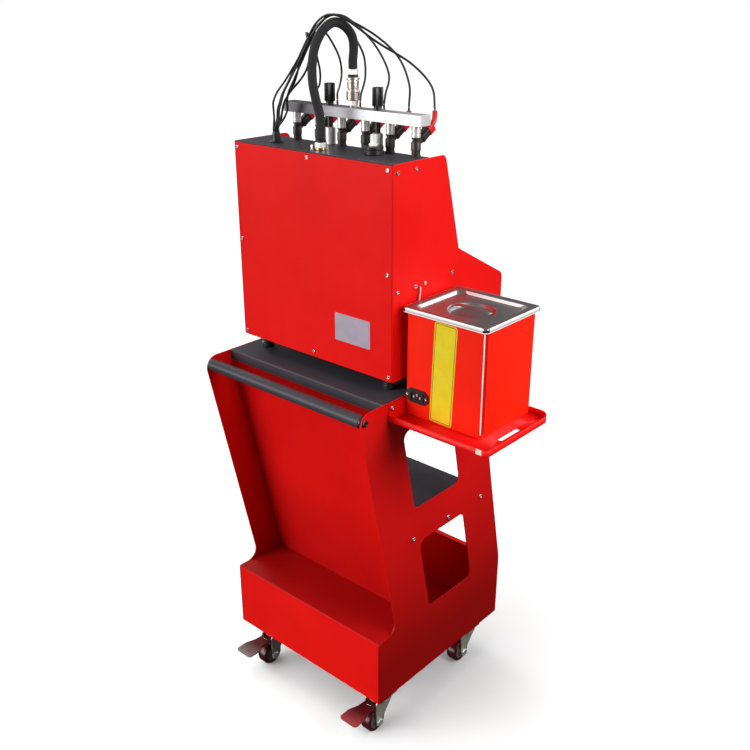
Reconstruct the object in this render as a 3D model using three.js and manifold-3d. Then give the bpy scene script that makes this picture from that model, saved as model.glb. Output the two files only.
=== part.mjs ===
// Ultrasonic injector cleaner: a red trolley that carries an injector test cabinet, with the fuel rail
// and six injectors on its top, and an ultrasonic bath on a side tray.
// Millimetres, +Z up, +Y towards the side with the push handle, -X towards the bath.
import * as THREE from 'three';
import { mergeVertices } from 'three/addons/utils/BufferGeometryUtils.js';
import Module from 'manifold-3d';

const wasm = await Module();
wasm.setup();

// Shared clearances and sheet sizes
const seat = 0.3;
const turning = 0.35;
const sheet = 2;
const thinSheet = 1.5;
const overrun = 4;
const chamfer = 0.5;

// Numbers of sides of the round pieces
const fineSides = 24;
const roundSides = 16;
const plainSides = 12;
const smallSides = 8;
const hexSides = 6;
const arcSteps = 2;

// Trolley sizes
const trolleyWidth = 400;
const baseDepth = 397.2;
const baseHeight = 142.8;
const trolleyHeight = 640;
const leanSlope = 0.2137;
const rearLeanFoot = 83.6;
const sideDepth = 345.2;
const casterHeight = 108;
const stepFillet = 24;
const handleCorner = 25;
const smallCorner = 3;

// Trolley windows, shelf and rear panel
const windowInset = 102;
const windowWidth = 140;
const windowCorner = 16;
const lowerWindowLow = 148;
const lowerWindowHigh = 318;
const upperWindowLow = 396;
const upperWindowDrop = 72;
const upperWindowHigh = trolleyHeight - upperWindowDrop;
const rearPanelInset = 63.4;
const rearPanelDrop = 18;
const rearPanelTop = trolleyHeight - rearPanelDrop;
const shelfHeight = 340;
const shelfFlange = 18;
const shelfSetback = 18;
const topSetback = 12;
const topLip = 19.5;
const hem = 12;

// Push handle
const handleRadius = 11.5;
const handleOut = 37;
const handleDrop = 16;
const handleHeight = trolleyHeight - handleDrop;

// Side tray and ultrasonic bath
const trayWidth = 207.7;
const trayRear = 21;
const trayDepth = 192.6;
const trayDrop = 32.6;
const trayFloor = trolleyHeight - trayDrop;
const trayLip = 12.4;
const trayFlange = 30.6;
const trayWall = 1.6;
const trayCorner = 24;
const trayNearCorner = 8;
const traySlotOut = 182;
const traySlotRear = 65;
const traySlotLength = 57;
const traySlotWidth = 9;
const bathWidth = 160;
const bathDepth = 146;
const bathHeight = 187.2;
const bathCorner = 5;
const bathOut = 83.4;
const bathRear = 66;
const bathWall = 1.5;
const rimOverhang = 6.5;
const tankDepth = 95;
const tankGap = 6;
const lidThickness = 6.2;
const lidBorder = 14;
const lidRecess = 1.6;
const cupRadius = 42;
const cupDepth = 15;
const strapWidth = 14;
const strapThickness = 3;
const basketGap = 5;
const basketHeight = 58;
const basketCorner = 6;
const basketFoot = 8;
const basketFootRadius = 4;
const basketEar = 12;
const basketEarWidth = 40;

// Test cabinet
const cabinetWidth = 379.4;
const cabinetRear = 45.3;
const cabinetFoot = 27.2;
const cabinetHeight = 371.9;
const cabinetTopDepth = 134.2;
const consoleRearDepth = 179.6;
const consoleRearHeight = 202.9;
const cabinetDepth = 321.2;
const consoleFrontHeight = 127;
const noseCorner = 14;
const shoulderCorner = 12;
const cheekProud = 4;
const topPlateDepth = 93;
const footRadius = 12;
const footInset = 30;
const frontFootDepth = 210;

// Fuel rail, injectors and posts
const railLength = 315;
const railDepth = 27;
const railHeight = 17.5;
const railCentre = -28;
const railIn = 82.7;
const railRise = 50;
const injectorPitch = 55.4;
const injectorCount = 6;
const postRadius = 8;
const postHeight = 30;
const rodRadius = 5;
const knobRadius = 9.5;
const knobHeight = 37;
const knobNeck = 6;
const knobNeckRadius = 7;
const knobCap = 8;
const bodyRadius = 8.2;
const nozzleRadius = 6.5;
const nozzleDrop = 9;
const bodyHeight = 24;
const neckRadius = 6;
const neckHeight = 28;
const ringRadius = 7.5;
const ringHeight = 33.5;
const stemRadius = 6.9;
const stemHeight = 44.5;
const collarRadius = 9;
const bootOut = 48;
const bootRadius = 3.4;
const bootTop = 69.9;
const bootHeight = 24;
const bootRootRadius = 5.4;
const bootRoot = 12;
const elbowLow = 36;
const elbowHigh = 43;
const elbowLength = 26;
const plugWidth = 15;
const plugHeight = 13;
const plugRise = 22;
const plugReach = 30;
const plugTilt = THREE.MathUtils.degToRad(32);

// Measuring tubes and their drain bar
const tubeRadius = 12;
const tubeBore = 10.6;
const drainBarHeight = 14;
const drainBarDepth = 34;

// Fittings on the cabinet's top
const nippleRadius = 6.5;
const couplerNutRadius = 12.5;
const couplerNutLow = 13.5;
const couplerNutHigh = 29;
const couplerStemRadius = 8.2;
const couplerStemHigh = 45;
const couplerRingRadius = 11;
const couplerRingHigh = 50;
const waistRadius = 8;
const waistHigh = 54;
const clampRadius = 8.6;
const couplerHeight = 62;
const sleeveRadius = 10;
const sleeveLow = 30.8;
const sleeveHigh = 43.1;
const hoseRadius = 7.75;
const hoseStemRadius = 9;
const hoseStemHeight = 17;
const hoseNutRadius = 11.5;
const hoseNutHeight = 6.5;
const hoseRingRadius = 9.8;
const hoseRingHeight = 2.5;
const upperNutRadius = 11;
const glandFlangeRadius = 14;
const glandFlangeHeight = 3;
const glandStemRadius = 9;
const glandStemHeight = 14;
const glandTipRadius = 6.5;
const glandHeight = 19;
const glandNutRadius = 12;
const glandNutLow = 5;
const glandNutHigh = 11;
const ribRadius = 16.5;
const ribHeight = 5;
const grooveRadius = 14.5;
const returnBase = 13;
const returnShoulderRadius = 9;
const returnStemRadius = 6.2;
const returnStemHeight = 31;
const returnTipRadius = 5;
const returnHeight = 32.5;
const leadRadius = 1.75;
const hoseFoot = [-2, -74];
const glandPlace = [117.5, -82];
const returnPlace = [-99.5, -100];

// Pressure gauge, switch and inlets
const gaugeRadius = 27;
const gaugeThickness = 22;
const gaugeOut = 156;
const gaugeDrop = 53.9;
const gaugeRise = cabinetHeight - gaugeDrop;
const inletWidth = 48;
const inletHeight = 26;
const inletDepth = 17;
const inletLip = 2.2;
const inletWall = 2;
const inletBodyInset = 8;
const bathInletRise = 26.4;
const bathInletSide = 2;
const mainsRear = 50;
const mainsRise = 40;
const rockerGap = 16;
const rockerWidth = 13;
const rockerHeight = 19;
const rockerDepth = 14;
const rockerProud = 3.4;

// Tank and pump inside the cabinet
const fuelTankWidth = 220;
const fuelTankDepth = 190;
const fuelTankHeight = 95;
const fuelTankOut = -170;
const fuelTankIn = 60;
const fillerRadius = 14;
const pumpRadius = 21;
const pumpLength = 150;
const pumpOut = 120;
const pumpIn = 70;
const pumpCap = 8;
const pumpCapRadius = 16;
const pumpSpout = 5;

// Casters
const casterSide = 155;
const casterRear = 55;
const casterFront = 342;
const casterTrail = 22;
const wheelRadius = 25;
const wheelWidth = 24;
const channelWidth = 50;
const channelHeight = 28;
const channelEnd = 25;
const casterPlate = 2.5;
const raceRadius = 21;
const raceHeight = 3.5;
const crownRadius = 25;
const crownThickness = 3.5;
const kingRadius = 5;
const kingHeadRadius = 9;
const kingHeadHeight = 3;
const legSpread = 13.5;
const legThickness = 3;
const axleRadius = 4;
const axleEnd = 25;
const axleNutRadius = 6.5;
const axleBoss = 6;
const hubRadius = 9;
const wheelDish = 3;
const pedalWidth = 44;
const pedalReach = 79;
const pedalThickness = 3;
const pedalPinRadius = 2.5;
const pedalPinIn = 3;
const brakeGap = 2;
const pedalSkirt = 7;

// Heights and places worked out from the sizes
const half = trolleyWidth / 2;
const inner = half - sheet - seat;
const baseTop = casterHeight + baseHeight;
const deckTop = casterHeight + trolleyHeight;
const cabinetHalf = cabinetWidth / 2;
const cabinetInner = cabinetHalf - sheet - seat;
const cabinetFloor = deckTop + cabinetFoot;
const cabinetTop = cabinetFloor + cabinetHeight;
const railY = -cabinetRear - railIn;
const injectorStart = railCentre + injectorPitch * injectorCount / 2 - injectorPitch / 2;
const injectorPlaces = Array.from({ length: injectorCount }, (unused, i) => (
  injectorStart - i * injectorPitch
));
const postPlaces = [railCentre + injectorPitch, railCentre - injectorPitch];
const axleHeight = wheelRadius;

// Colours of the finishes
const finishes = {
  red: [0xc8141a, 0.45, 0.1],
  grey: [0x3a383f, 0.55, 0.2],
  black: [0x161616, 0.5, 0],
  steel: [0xb8b8ba, 0.3, 0.9],
  glass: [0xdde8ea, 0.05, 0],
  rubber: [0x3a1214, 0.7, 0],
  white: [0xe8e8e4, 0.5, 0],
  sleeve: [0x232225, 0.9, 0],
};

const material = (finish) => {
  const [color, roughness, metalness] = finishes[finish];
  return new THREE.MeshStandardMaterial({ color, roughness, metalness });
};

const part = new THREE.Group();

// Turns a geometry into a solid: shared points, no flat faces and outward sides
function solid(geometry) {
  const bare = geometry.clone();
  bare.deleteAttribute('normal');
  bare.deleteAttribute('uv');
  const merged = mergeVertices(bare);
  const points = merged.attributes.position.array;
  const index = merged.index.array;
  const corner = (i) => new THREE.Vector3().fromArray(points, 3 * i);
  const faces = [];
  let volume = 0;
  for (let i = 0; i < index.length; i += 3) {
    const [a, b, c] = index.slice(i, i + 3);
    if (a === b || b === c || c === a) continue;
    faces.push([a, b, c]);
    volume += corner(a).dot(corner(b).cross(corner(c)));
  }
  const outward = volume > 0 ? faces : faces.map(([a, b, c]) => [a, c, b]);
  const triVerts = new Uint32Array(outward.flat());
  return new wasm.Manifold(new wasm.Mesh({ numProp: 3, vertProperties: points, triVerts }));
}

// Adds a solid to the part as a named mesh
function addPiece(name, shape, finish, parent = part) {
  const { vertProperties, triVerts } = shape.getMesh();
  const geometry = new THREE.BufferGeometry();
  geometry.setAttribute('position', new THREE.BufferAttribute(vertProperties, 3));
  geometry.setIndex(new THREE.BufferAttribute(triVerts, 1));
  const mesh = new THREE.Mesh(geometry, material(finish));
  mesh.name = name;
  parent.add(mesh);
  return mesh;
}

const join = (first, ...others) => others.reduce((whole, next) => whole.add(next), first);
const cut = (first, ...others) => others.reduce((whole, next) => whole.subtract(next), first);
const moved = (shape, x, y, z) => shape.translate([x, y, z]);
const mirrored = (shape) => shape.mirror([1, 0, 0]);

// A block between two corners
function block([x0, y0, z0], [x1, y1, z1]) {
  const geometry = new THREE.BoxGeometry(x1 - x0, y1 - y0, z1 - z0);
  return solid(geometry.translate((x0 + x1) / 2, (y0 + y1) / 2, (z0 + z1) / 2));
}

// An outline through corners [u, v, radius], with an arc at each corner that has a radius
function outline(corners, Kind = THREE.Shape) {
  const shape = new Kind();
  corners.forEach(([u, v, radius = 0], i) => {
    const here = new THREE.Vector2(u, v);
    const before = new THREE.Vector2(...corners.at(i - 1)).sub(here);
    const after = new THREE.Vector2(...corners[(i + 1) % corners.length]).sub(here);
    const room = Math.min(before.length(), after.length()) / 2;
    before.normalize();
    after.normalize();
    const halfAngle = Math.acos(before.dot(after)) / 2;
    const reach = Math.min(radius / Math.tan(halfAngle), room);
    const start = before.clone().multiplyScalar(reach).add(here);
    if (i === 0) shape.moveTo(start.x, start.y);
    else shape.lineTo(start.x, start.y);
    if (radius === 0) return;
    const end = after.clone().multiplyScalar(reach).add(here);
    const rounding = reach * Math.tan(halfAngle);
    const toCentre = before.clone().add(after).normalize().multiplyScalar(reach / Math.cos(halfAngle));
    const centre = toCentre.add(here);
    const from = start.sub(centre).angle();
    const to = end.sub(centre).angle();
    shape.absarc(centre.x, centre.y, rounding, from, to, before.cross(after) > 0);
  });
  shape.closePath();
  return shape;
}

const rectangle = (u0, v0, u1, v1, radius = 0) => (
  outline([[u0, v0, radius], [u1, v0, radius], [u1, v1, radius], [u0, v1, radius]])
);

// Axes of an outline and of its extrusion
const X = new THREE.Vector3(1, 0, 0);
const Y = new THREE.Vector3(0, 1, 0);
const Z = new THREE.Vector3(0, 0, 1);
const planes = { x: [Y, Z, X], y: [X, Z, Y], z: [X, Y, Z] };

// An outline drawn square to an axis and extruded along it
function extruded(shape, axis, from, to) {
  const options = { depth: to - from, bevelEnabled: false, curveSegments: arcSteps };
  const geometry = new THREE.ExtrudeGeometry(shape, options).translate(0, 0, from);
  return solid(geometry.applyMatrix4(new THREE.Matrix4().makeBasis(...planes[axis])));
}

// A turned piece: profile points [radius, height] up its axis
function turned(profile, sides = roundSides, axis = 'z') {
  const closed = profile[0][0] > 0 ? [...profile, profile[0]] : profile;
  const points = closed.map(([radius, height]) => new THREE.Vector2(radius, height));
  const geometry = new THREE.LatheGeometry(points, sides);
  if (axis === 'x') geometry.rotateZ(-Math.PI / 2);
  if (axis === 'z') geometry.rotateX(Math.PI / 2);
  return solid(geometry);
}

const rod = (radius, from, to, sides = roundSides, axis = 'z') => (
  turned([[0, from], [radius, from], [radius, to], [0, to]], sides, axis)
);

// Side panels with two windows each
const leanAt = (height) => -rearLeanFoot + leanSlope * height;
const sideCorners = [
  [0, 0],
  [0, baseHeight, smallCorner],
  [leanAt(baseHeight), baseHeight, stepFillet],
  [leanAt(trolleyHeight), trolleyHeight, handleCorner],
  [leanAt(trolleyHeight) - sideDepth, trolleyHeight, smallCorner],
  [leanAt(baseHeight) - sideDepth, baseHeight, smallCorner],
  [-baseDepth, 0],
];

function sideWindow(low, high) {
  const rear = (height) => leanAt(height) - windowInset;
  const front = (height) => rear(height) - windowWidth;
  const corners = [[rear(low), low], [rear(high), high], [front(high), high], [front(low), low]];
  return outline(corners.map(([u, v]) => [u, v, windowCorner]), THREE.Path);
}

function sidePanel() {
  const shape = outline(sideCorners);
  shape.holes.push(sideWindow(lowerWindowLow, lowerWindowHigh));
  shape.holes.push(sideWindow(upperWindowLow, upperWindowHigh));
  return moved(extruded(shape, 'x', half - sheet, half), 0, 0, casterHeight);
}

addPiece('side_panel_right', sidePanel(), 'red');
addPiece('side_panel_left', mirrored(sidePanel()), 'red');

// Floor pan: floor, front wall with its hem, the two caster channels and the fixed half of each caster
const casterPlaces = [
  ['rear_left', -casterSide, -casterRear],
  ['rear_right', casterSide, -casterRear],
  ['front_left', -casterSide, -casterFront],
  ['front_right', casterSide, -casterFront],
];
const channelLow = casterHeight - channelHeight;
const plateLow = channelLow - casterPlate;
const raceLow = plateLow - raceHeight;
const crownTop = raceLow - seat;
const crownLow = crownTop - crownThickness;

function channel() {
  const wide = channelWidth / 2;
  const section = outline([
    [-wide, channelLow], [wide, channelLow], [wide, casterHeight + sheet / 2],
    [wide - sheet, casterHeight + sheet / 2], [wide - sheet, channelLow + sheet],
    [-wide + sheet, channelLow + sheet], [-wide + sheet, casterHeight + sheet / 2],
    [-wide, casterHeight + sheet / 2],
  ]);
  return extruded(section, 'y', -casterFront - channelWidth / 2, -channelEnd);
}

// The swivel seat: plate, ball race and the king pin that the fork hangs on
function casterSeat() {
  const wide = channelWidth / 2;
  const plate = block([-wide, -wide, plateLow], [wide, wide, channelLow + sheet / 2]);
  const race = rod(raceRadius, raceLow, plateLow + sheet / 2);
  const headTop = crownLow - seat;
  const king = rod(kingRadius, headTop - kingHeadHeight, plateLow, plainSides);
  const head = rod(kingHeadRadius, headTop - kingHeadHeight, headTop, plainSides);
  return join(plate, race, king, head);
}

const floorRear = -sheet - 2 * seat;
const frontWall = outline([
  [-baseDepth, casterHeight], [floorRear, casterHeight], [floorRear, casterHeight + sheet],
  [-baseDepth + sheet, casterHeight + sheet], [-baseDepth + sheet, baseTop - sheet - seat],
  [-baseDepth + hem, baseTop - sheet - seat], [-baseDepth + hem, baseTop - seat],
  [-baseDepth, baseTop - seat],
]);
const floorPan = join(
  extruded(frontWall, 'x', -inner, inner),
  moved(channel(), -casterSide, 0, 0),
  moved(channel(), casterSide, 0, 0),
  ...casterPlaces.map(([, x, y]) => moved(casterSeat(), x, y, 0)),
);
addPiece('floor_pan', floorPan, 'red');

// Rear step: the skirt and the ledge in front of the leaning rear panel
const rearPanelAt = (height) => leanAt(height) - rearPanelInset;
const ledgeEnd = rearPanelAt(baseHeight) - sheet - seat;
const stepSection = outline([
  [-seat - sheet, casterHeight], [-seat, casterHeight], [-seat, baseTop, smallCorner], [ledgeEnd, baseTop],
  [ledgeEnd, baseTop - sheet], [-seat - sheet, baseTop - sheet],
]);
addPiece('rear_step', extruded(stepSection, 'x', -inner, inner), 'red');

// Leaning rear panel, standing on the ledge and tucked behind the deck's lip
const panelFoot = baseHeight + seat;
const leaningPanel = outline([
  [rearPanelAt(panelFoot), panelFoot], [rearPanelAt(rearPanelTop), rearPanelTop],
  [rearPanelAt(rearPanelTop) - sheet, rearPanelTop], [rearPanelAt(panelFoot) - sheet, panelFoot],
]);
addPiece('rear_panel', moved(extruded(leaningPanel, 'x', -inner, inner), 0, 0, casterHeight), 'red');

// Deck: the trolley's top plate with a lip at the rear and front and a flange at each side
function flangedPlate(rear, front, top, rearFlange, frontFlange, sideFlange, thickness) {
  const wide = inner - seat;
  const side = thickness + smallCorner;
  const pieces = [
    block([-wide, front, top - thickness], [wide, rear, top]),
    block([-wide, front, top - frontFlange], [wide, front + thickness, top]),
    block([-wide, front + side, top - sideFlange], [-wide + thickness, rear - side, top]),
    block([wide - thickness, front + side, top - sideFlange], [wide, rear - side, top]),
  ];
  if (rearFlange > 0) pieces.push(block([-wide, rear - thickness, top - rearFlange], [wide, rear, top]));
  return join(...pieces);
}

const deckFront = leanAt(trolleyHeight) - sideDepth + smallCorner;
const deck = flangedPlate(-topSetback, deckFront, deckTop, topLip, topLip, topLip, thinSheet);
addPiece('trolley_top', deck, 'grey');

// Middle shelf
const shelfRear = rearPanelAt(shelfHeight) - 2 * sheet;
const shelfFront = leanAt(shelfHeight) - sideDepth + shelfSetback;
const shelfTop = casterHeight + shelfHeight;
const shelf = flangedPlate(shelfRear, shelfFront, shelfTop, 0, shelfFlange, shelfFlange, sheet);
addPiece('middle_shelf', shelf, 'grey');

// Push handle between the side panels
const handleRod = rod(handleRadius, -inner, inner, fineSides, 'x');
addPiece('push_handle', moved(handleRod, 0, handleOut, casterHeight + handleHeight), 'grey');

// Side tray that hangs on the left side panel
const trayIn = -half - seat;
const trayOut = trayIn - trayWidth;
const trayFront = -trayRear - trayDepth;
const trayLow = casterHeight + trayFloor;
const trayTop = trayLow + trayLip;

function trayShape() {
  const rounded = (inset) => outline([
    [trayIn - inset, -trayRear - inset, smallCorner], [trayIn - inset, trayFront + inset, smallCorner],
    [trayOut + inset, trayFront + inset, trayCorner - inset],
    [trayOut + inset, -trayRear - inset, trayNearCorner - inset],
  ]);
  const shell = cut(
    extruded(rounded(0), 'z', trayLow, trayTop),
    extruded(rounded(trayWall), 'z', trayLow + trayWall, trayTop + overrun),
  );
  const flange = block(
    [trayIn - trayWall, trayFront + smallCorner, trayLow + trayWall / 2],
    [trayIn, -trayRear - smallCorner, trayLow + trayFlange],
  );
  const slotOut = trayIn - traySlotOut;
  const slotRear = -trayRear - traySlotRear;
  const slot = extruded(
    rectangle(slotOut - traySlotWidth, slotRear - traySlotLength, slotOut, slotRear, traySlotWidth / 2),
    'z', trayLow - overrun, trayLow + overrun,
  );
  return cut(join(shell, flange), slot);
}
addPiece('bath_tray', trayShape(), 'red');

// Ultrasonic bath: case, steel tank, basket and lid about the bath's own centre line
const bath = new THREE.Group();
const bathX = trayIn - bathOut;
const bathY = -bathRear - bathDepth / 2;
const bathZ = trayLow + trayWall;
bath.position.set(bathX, bathY, bathZ);
part.add(bath);

const tile = (width, depth, low, high, radius) => (
  extruded(rectangle(-width / 2, -depth / 2, width / 2, depth / 2, radius), 'z', low, high)
);
const rimWidth = bathWidth + 2 * rimOverhang;
const rimDepth = bathDepth + 2 * rimOverhang;
const rimCorner = bathCorner + rimOverhang / 2;
const tankInset = 2 * (bathWall + tankGap);
const tankWidth = bathWidth - tankInset;
const tankSpan = bathDepth - tankInset;
const wellWidth = tankWidth - 2 * bathWall;
const wellSpan = tankSpan - 2 * bathWall;
const bathRim = bathHeight + seat;
const tankFloor = bathHeight - tankDepth;

const inletHole = (width, height, from, to) => (
  extruded(rectangle(-width / 2, -height / 2, width / 2, height / 2, smallCorner), 'y', from, to)
);
const inletBodyWidth = inletWidth - 2 * inletBodyInset;
const inletBodyHeight = inletHeight - inletBodyInset;
const bathInletX = bathWidth / 2 - inletWidth / 2 - bathInletSide;
const bathInletZ = bathInletRise + inletHeight / 2;
const bathFace = bathDepth / 2;

const bathShell = cut(
  tile(bathWidth, bathDepth, seat, bathHeight, bathCorner),
  tile(bathWidth - 2 * bathWall, bathDepth - 2 * bathWall, seat + bathWall, bathHeight + overrun,
    bathCorner - bathWall),
  moved(
    inletHole(inletBodyWidth + 2 * seat, inletBodyHeight + 2 * seat, bathFace - overrun, bathFace + overrun),
    bathInletX, 0, bathInletZ,
  ),
);
addPiece('bath_case', bathShell, 'red', bath);

const tank = cut(
  join(
    tile(tankWidth, tankSpan, tankFloor, bathRim + bathWall, bathCorner),
    tile(rimWidth, rimDepth, bathRim, bathRim + bathWall, rimCorner),
  ),
  tile(wellWidth, wellSpan, tankFloor + bathWall, bathHeight + overrun, bathCorner - bathWall),
);
addPiece('bath_tank', tank, 'steel', bath);

// Basket with four feet and two ears
const basketWidth = wellWidth - 2 * basketGap;
const basketSpan = wellSpan - 2 * basketGap;
const basketFloor = tankFloor + bathWall + seat + basketFoot;
const basketEars = [-1, 1].map((side) => {
  const out = side * basketWidth / 2;
  const low = Math.min(out, out - side * bathWall);
  const ear = rectangle(-basketEarWidth / 2, basketFloor + basketHeight / 2,
    basketEarWidth / 2, basketFloor + basketHeight + basketEar, smallCorner);
  const grip = rectangle(-basketEarWidth / 2 + basketEar / 2, basketFloor + basketHeight + smallCorner,
    basketEarWidth / 2 - basketEar / 2, basketFloor + basketHeight + basketEar - smallCorner);
  return cut(extruded(ear, 'x', low, low + bathWall), extruded(grip, 'x', low - overrun, low + overrun));
});
const basketFeet = [[-1, -1], [-1, 1], [1, -1], [1, 1]].map(([sideX, sideY]) => moved(
  rod(basketFootRadius, basketFloor - basketFoot, basketFloor + bathWall / 2, smallSides),
  sideX * basketWidth / 3, sideY * basketSpan / 3, 0,
));
const basket = join(
  cut(
    tile(basketWidth, basketSpan, basketFloor, basketFloor + basketHeight, basketCorner),
    tile(basketWidth - 2 * bathWall, basketSpan - 2 * bathWall, basketFloor + bathWall,
      basketFloor + basketHeight + overrun, basketCorner - bathWall),
  ),
  ...basketEars,
  ...basketFeet,
);
addPiece('bath_basket', basket, 'steel', bath);

// Lid with a sunk middle, a finger cup and a strap across it
const lidLow = bathRim + bathWall + seat;
const lidTop = lidLow + lidThickness;
const cupLow = lidTop - cupDepth;
const lid = cut(
  join(
    tile(rimWidth, rimDepth, lidLow, lidTop, rimCorner),
    rod(cupRadius + bathWall, cupLow - bathWall, lidLow + lidThickness / 2, fineSides),
  ),
  tile(rimWidth - 2 * lidBorder, rimDepth - 2 * lidBorder, lidTop - lidRecess, lidTop + overrun, bathCorner),
  rod(cupRadius, cupLow, lidTop + overrun, fineSides),
);
const strap = block(
  [-cupRadius - bathWall / 2, -strapWidth / 2, lidTop - lidRecess - strapThickness],
  [cupRadius + bathWall / 2, strapWidth / 2, lidTop - lidRecess],
);
addPiece('bath_lid', join(lid, strap), 'red', bath);

// A mains inlet facing +Y with its face at y = 0
function mainsInlet() {
  const ears = rectangle(-inletWidth / 2, -inletHeight / 2, inletWidth / 2, inletHeight / 2, inletBodyInset);
  const bezel = extruded(ears, 'y', seat, seat + inletLip);
  const body = inletHole(inletBodyWidth, inletBodyHeight, -inletDepth, seat + inletLip / 2);
  const socket = inletHole(inletBodyWidth - 2 * inletWall, inletBodyHeight - 2 * inletWall,
    -inletDepth + inletWall, seat + inletLip + overrun);
  return cut(join(bezel, body), socket);
}
addPiece('bath_inlet', moved(mainsInlet(), bathInletX, bathFace, bathInletZ), 'black', bath);

// Test cabinet, drawn from its rear bottom edge
const cabinet = new THREE.Group();
cabinet.position.set(0, -cabinetRear, cabinetFloor);
part.add(cabinet);

const cheekCorners = [
  [0, 0, smallCorner],
  [0, cabinetHeight, smallCorner],
  [-cabinetTopDepth, cabinetHeight, shoulderCorner],
  [-consoleRearDepth, consoleRearHeight, smallCorner],
  [-cabinetDepth, consoleFrontHeight, noseCorner],
  [-cabinetDepth, 0, smallCorner],
];
const mainsY = -mainsRear - inletWidth / 2;
const mainsZ = mainsRise + inletHeight / 2;
const rockerY = -mainsRear - inletWidth - rockerGap;

function cheek() {
  return extruded(outline(cheekCorners), 'x', cabinetHalf - sheet, cabinetHalf);
}

// The openings for the mains inlet and the switch in the right cheek
const quarterTurn = (shape) => shape.rotate([0, 0, -90]);
const mainsOpening = moved(
  quarterTurn(inletHole(inletBodyWidth + 2 * seat, inletBodyHeight + 2 * seat, -overrun, overrun)),
  cabinetHalf, mainsY, mainsZ,
);
const rockerOpening = block(
  [cabinetHalf - overrun, rockerY - rockerWidth / 2 - turning, mainsZ - rockerHeight / 2 - turning],
  [cabinetHalf + overrun, rockerY + rockerWidth / 2 + turning, mainsZ + rockerHeight / 2 + turning],
);
addPiece('cheek_right', cut(cheek(), mainsOpening, rockerOpening), 'red', cabinet);
addPiece('cheek_left', mirrored(cheek()), 'red', cabinet);
addPiece('power_inlet', moved(quarterTurn(mainsInlet()), cabinetHalf, mainsY, mainsZ), 'black', cabinet);

// Rocker switch, a drum segment that tilts about its middle
const rockerFace = outline([
  [-rockerDepth, -rockerHeight / 2 + rockerProud], [-rockerDepth, rockerHeight / 2 - rockerProud],
  [0, rockerHeight / 2], [rockerProud, rockerHeight / 2], [rockerProud / 2, 0],
  [rockerProud / 2, -rockerHeight / 2],
  [0, -rockerHeight / 2],
]);
const rocker = extruded(rockerFace, 'y', rockerY - rockerWidth / 2, rockerY + rockerWidth / 2);
addPiece('power_switch', moved(rocker, cabinetHalf, 0, mainsZ), 'black', cabinet);

// Rear cover, base plate with four feet, and top plate with holes for what stands on it
const underTop = cabinetHeight - sheet - seat;
addPiece('rear_cover', block([-cabinetInner, -sheet, seat], [cabinetInner, 0, underTop]), 'red', cabinet);

const cabinetFeet = [-1, 1].flatMap((side) => [footInset, frontFootDepth].map((depth) => moved(
  rod(footRadius, -cabinetFoot + seat, sheet / 2 + seat), side * (cabinetInner - footInset), -depth, 0,
)));
const basePlate = block([-cabinetInner, -cabinetDepth + cheekProud + sheet + seat, seat],
  [cabinetInner, -sheet - seat, seat + sheet]);
addPiece('cabinet_base', join(basePlate, ...cabinetFeet), 'grey', cabinet);

const nozzleHoles = injectorPlaces.map((x) => moved(
  rod(nozzleRadius + seat, cabinetHeight - overrun, cabinetHeight + overrun, plainSides), x, -railIn, 0,
));
const plate = block([-cabinetInner, -topPlateDepth, cabinetHeight - sheet],
  [cabinetInner, -seat, cabinetHeight]);
addPiece('cabinet_top', cut(plate, ...nozzleHoles), 'grey', cabinet);

// White board behind the measuring tubes
const boardY = -railIn + tubeRadius + sheet;
const ledgeZ = consoleRearHeight - cheekProud;
const board = block([-cabinetInner, boardY, ledgeZ - sheet], [cabinetInner, boardY + sheet, underTop]);
addPiece('tube_backboard', board, 'white', cabinet);

// Control panel: ledge under the tubes, sloping console and front wall in one bent sheet
const panelLine = [
  [boardY - seat, ledgeZ], [-consoleRearDepth + cheekProud, ledgeZ],
  [-cabinetDepth + cheekProud, consoleFrontHeight - cheekProud], [-cabinetDepth + cheekProud, seat],
];
const panelBack = panelLine.map(([u, v], i) => [i > 0 ? u + sheet : u, i < 3 ? v - sheet : v]).reverse();
const bentPanel = outline([...panelLine, ...panelBack]);
addPiece('control_panel', extruded(bentPanel, 'x', -cabinetInner, cabinetInner), 'red', cabinet);

// Six measuring tubes on their drain bar
const drainTop = ledgeZ + seat + drainBarHeight;
const barEnd = injectorPitch * (injectorCount - 1) / 2 + tubeRadius + sheet;
const drainBar = block([railCentre - barEnd, -railIn - drainBarDepth / 2, ledgeZ + seat],
  [railCentre + barEnd, -railIn + tubeRadius + seat, drainTop]);
const measuringTube = turned([
  [tubeBore, drainTop - sheet], [tubeRadius, drainTop - sheet], [tubeRadius, underTop], [tubeBore, underTop],
], plainSides);
const tubes = injectorPlaces.map((x) => moved(measuringTube, x, -railIn, 0));
const bore = rod(tubeBore, drainTop - sheet, underTop, plainSides);
const tubeBores = injectorPlaces.map((x) => moved(bore, x, -railIn, 0));
addPiece('measuring_tubes', cut(join(drainBar, ...tubes), ...tubeBores), 'glass', cabinet);

// Pressure gauge beside the tubes
const gaugeBody = turned([
  [0, boardY - seat], [gaugeRadius - sheet, boardY - seat], [gaugeRadius, boardY - seat - sheet],
  [gaugeRadius, boardY - gaugeThickness], [gaugeRadius - sheet, boardY - gaugeThickness - sheet],
  [gaugeRadius - 2 * sheet, boardY - gaugeThickness - sheet],
  [gaugeRadius - 2 * sheet, boardY - gaugeThickness],
  [0, boardY - gaugeThickness],
], fineSides, 'y');
addPiece('pressure_gauge', moved(gaugeBody, gaugeOut, 0, gaugeRise), 'black', cabinet);

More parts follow.
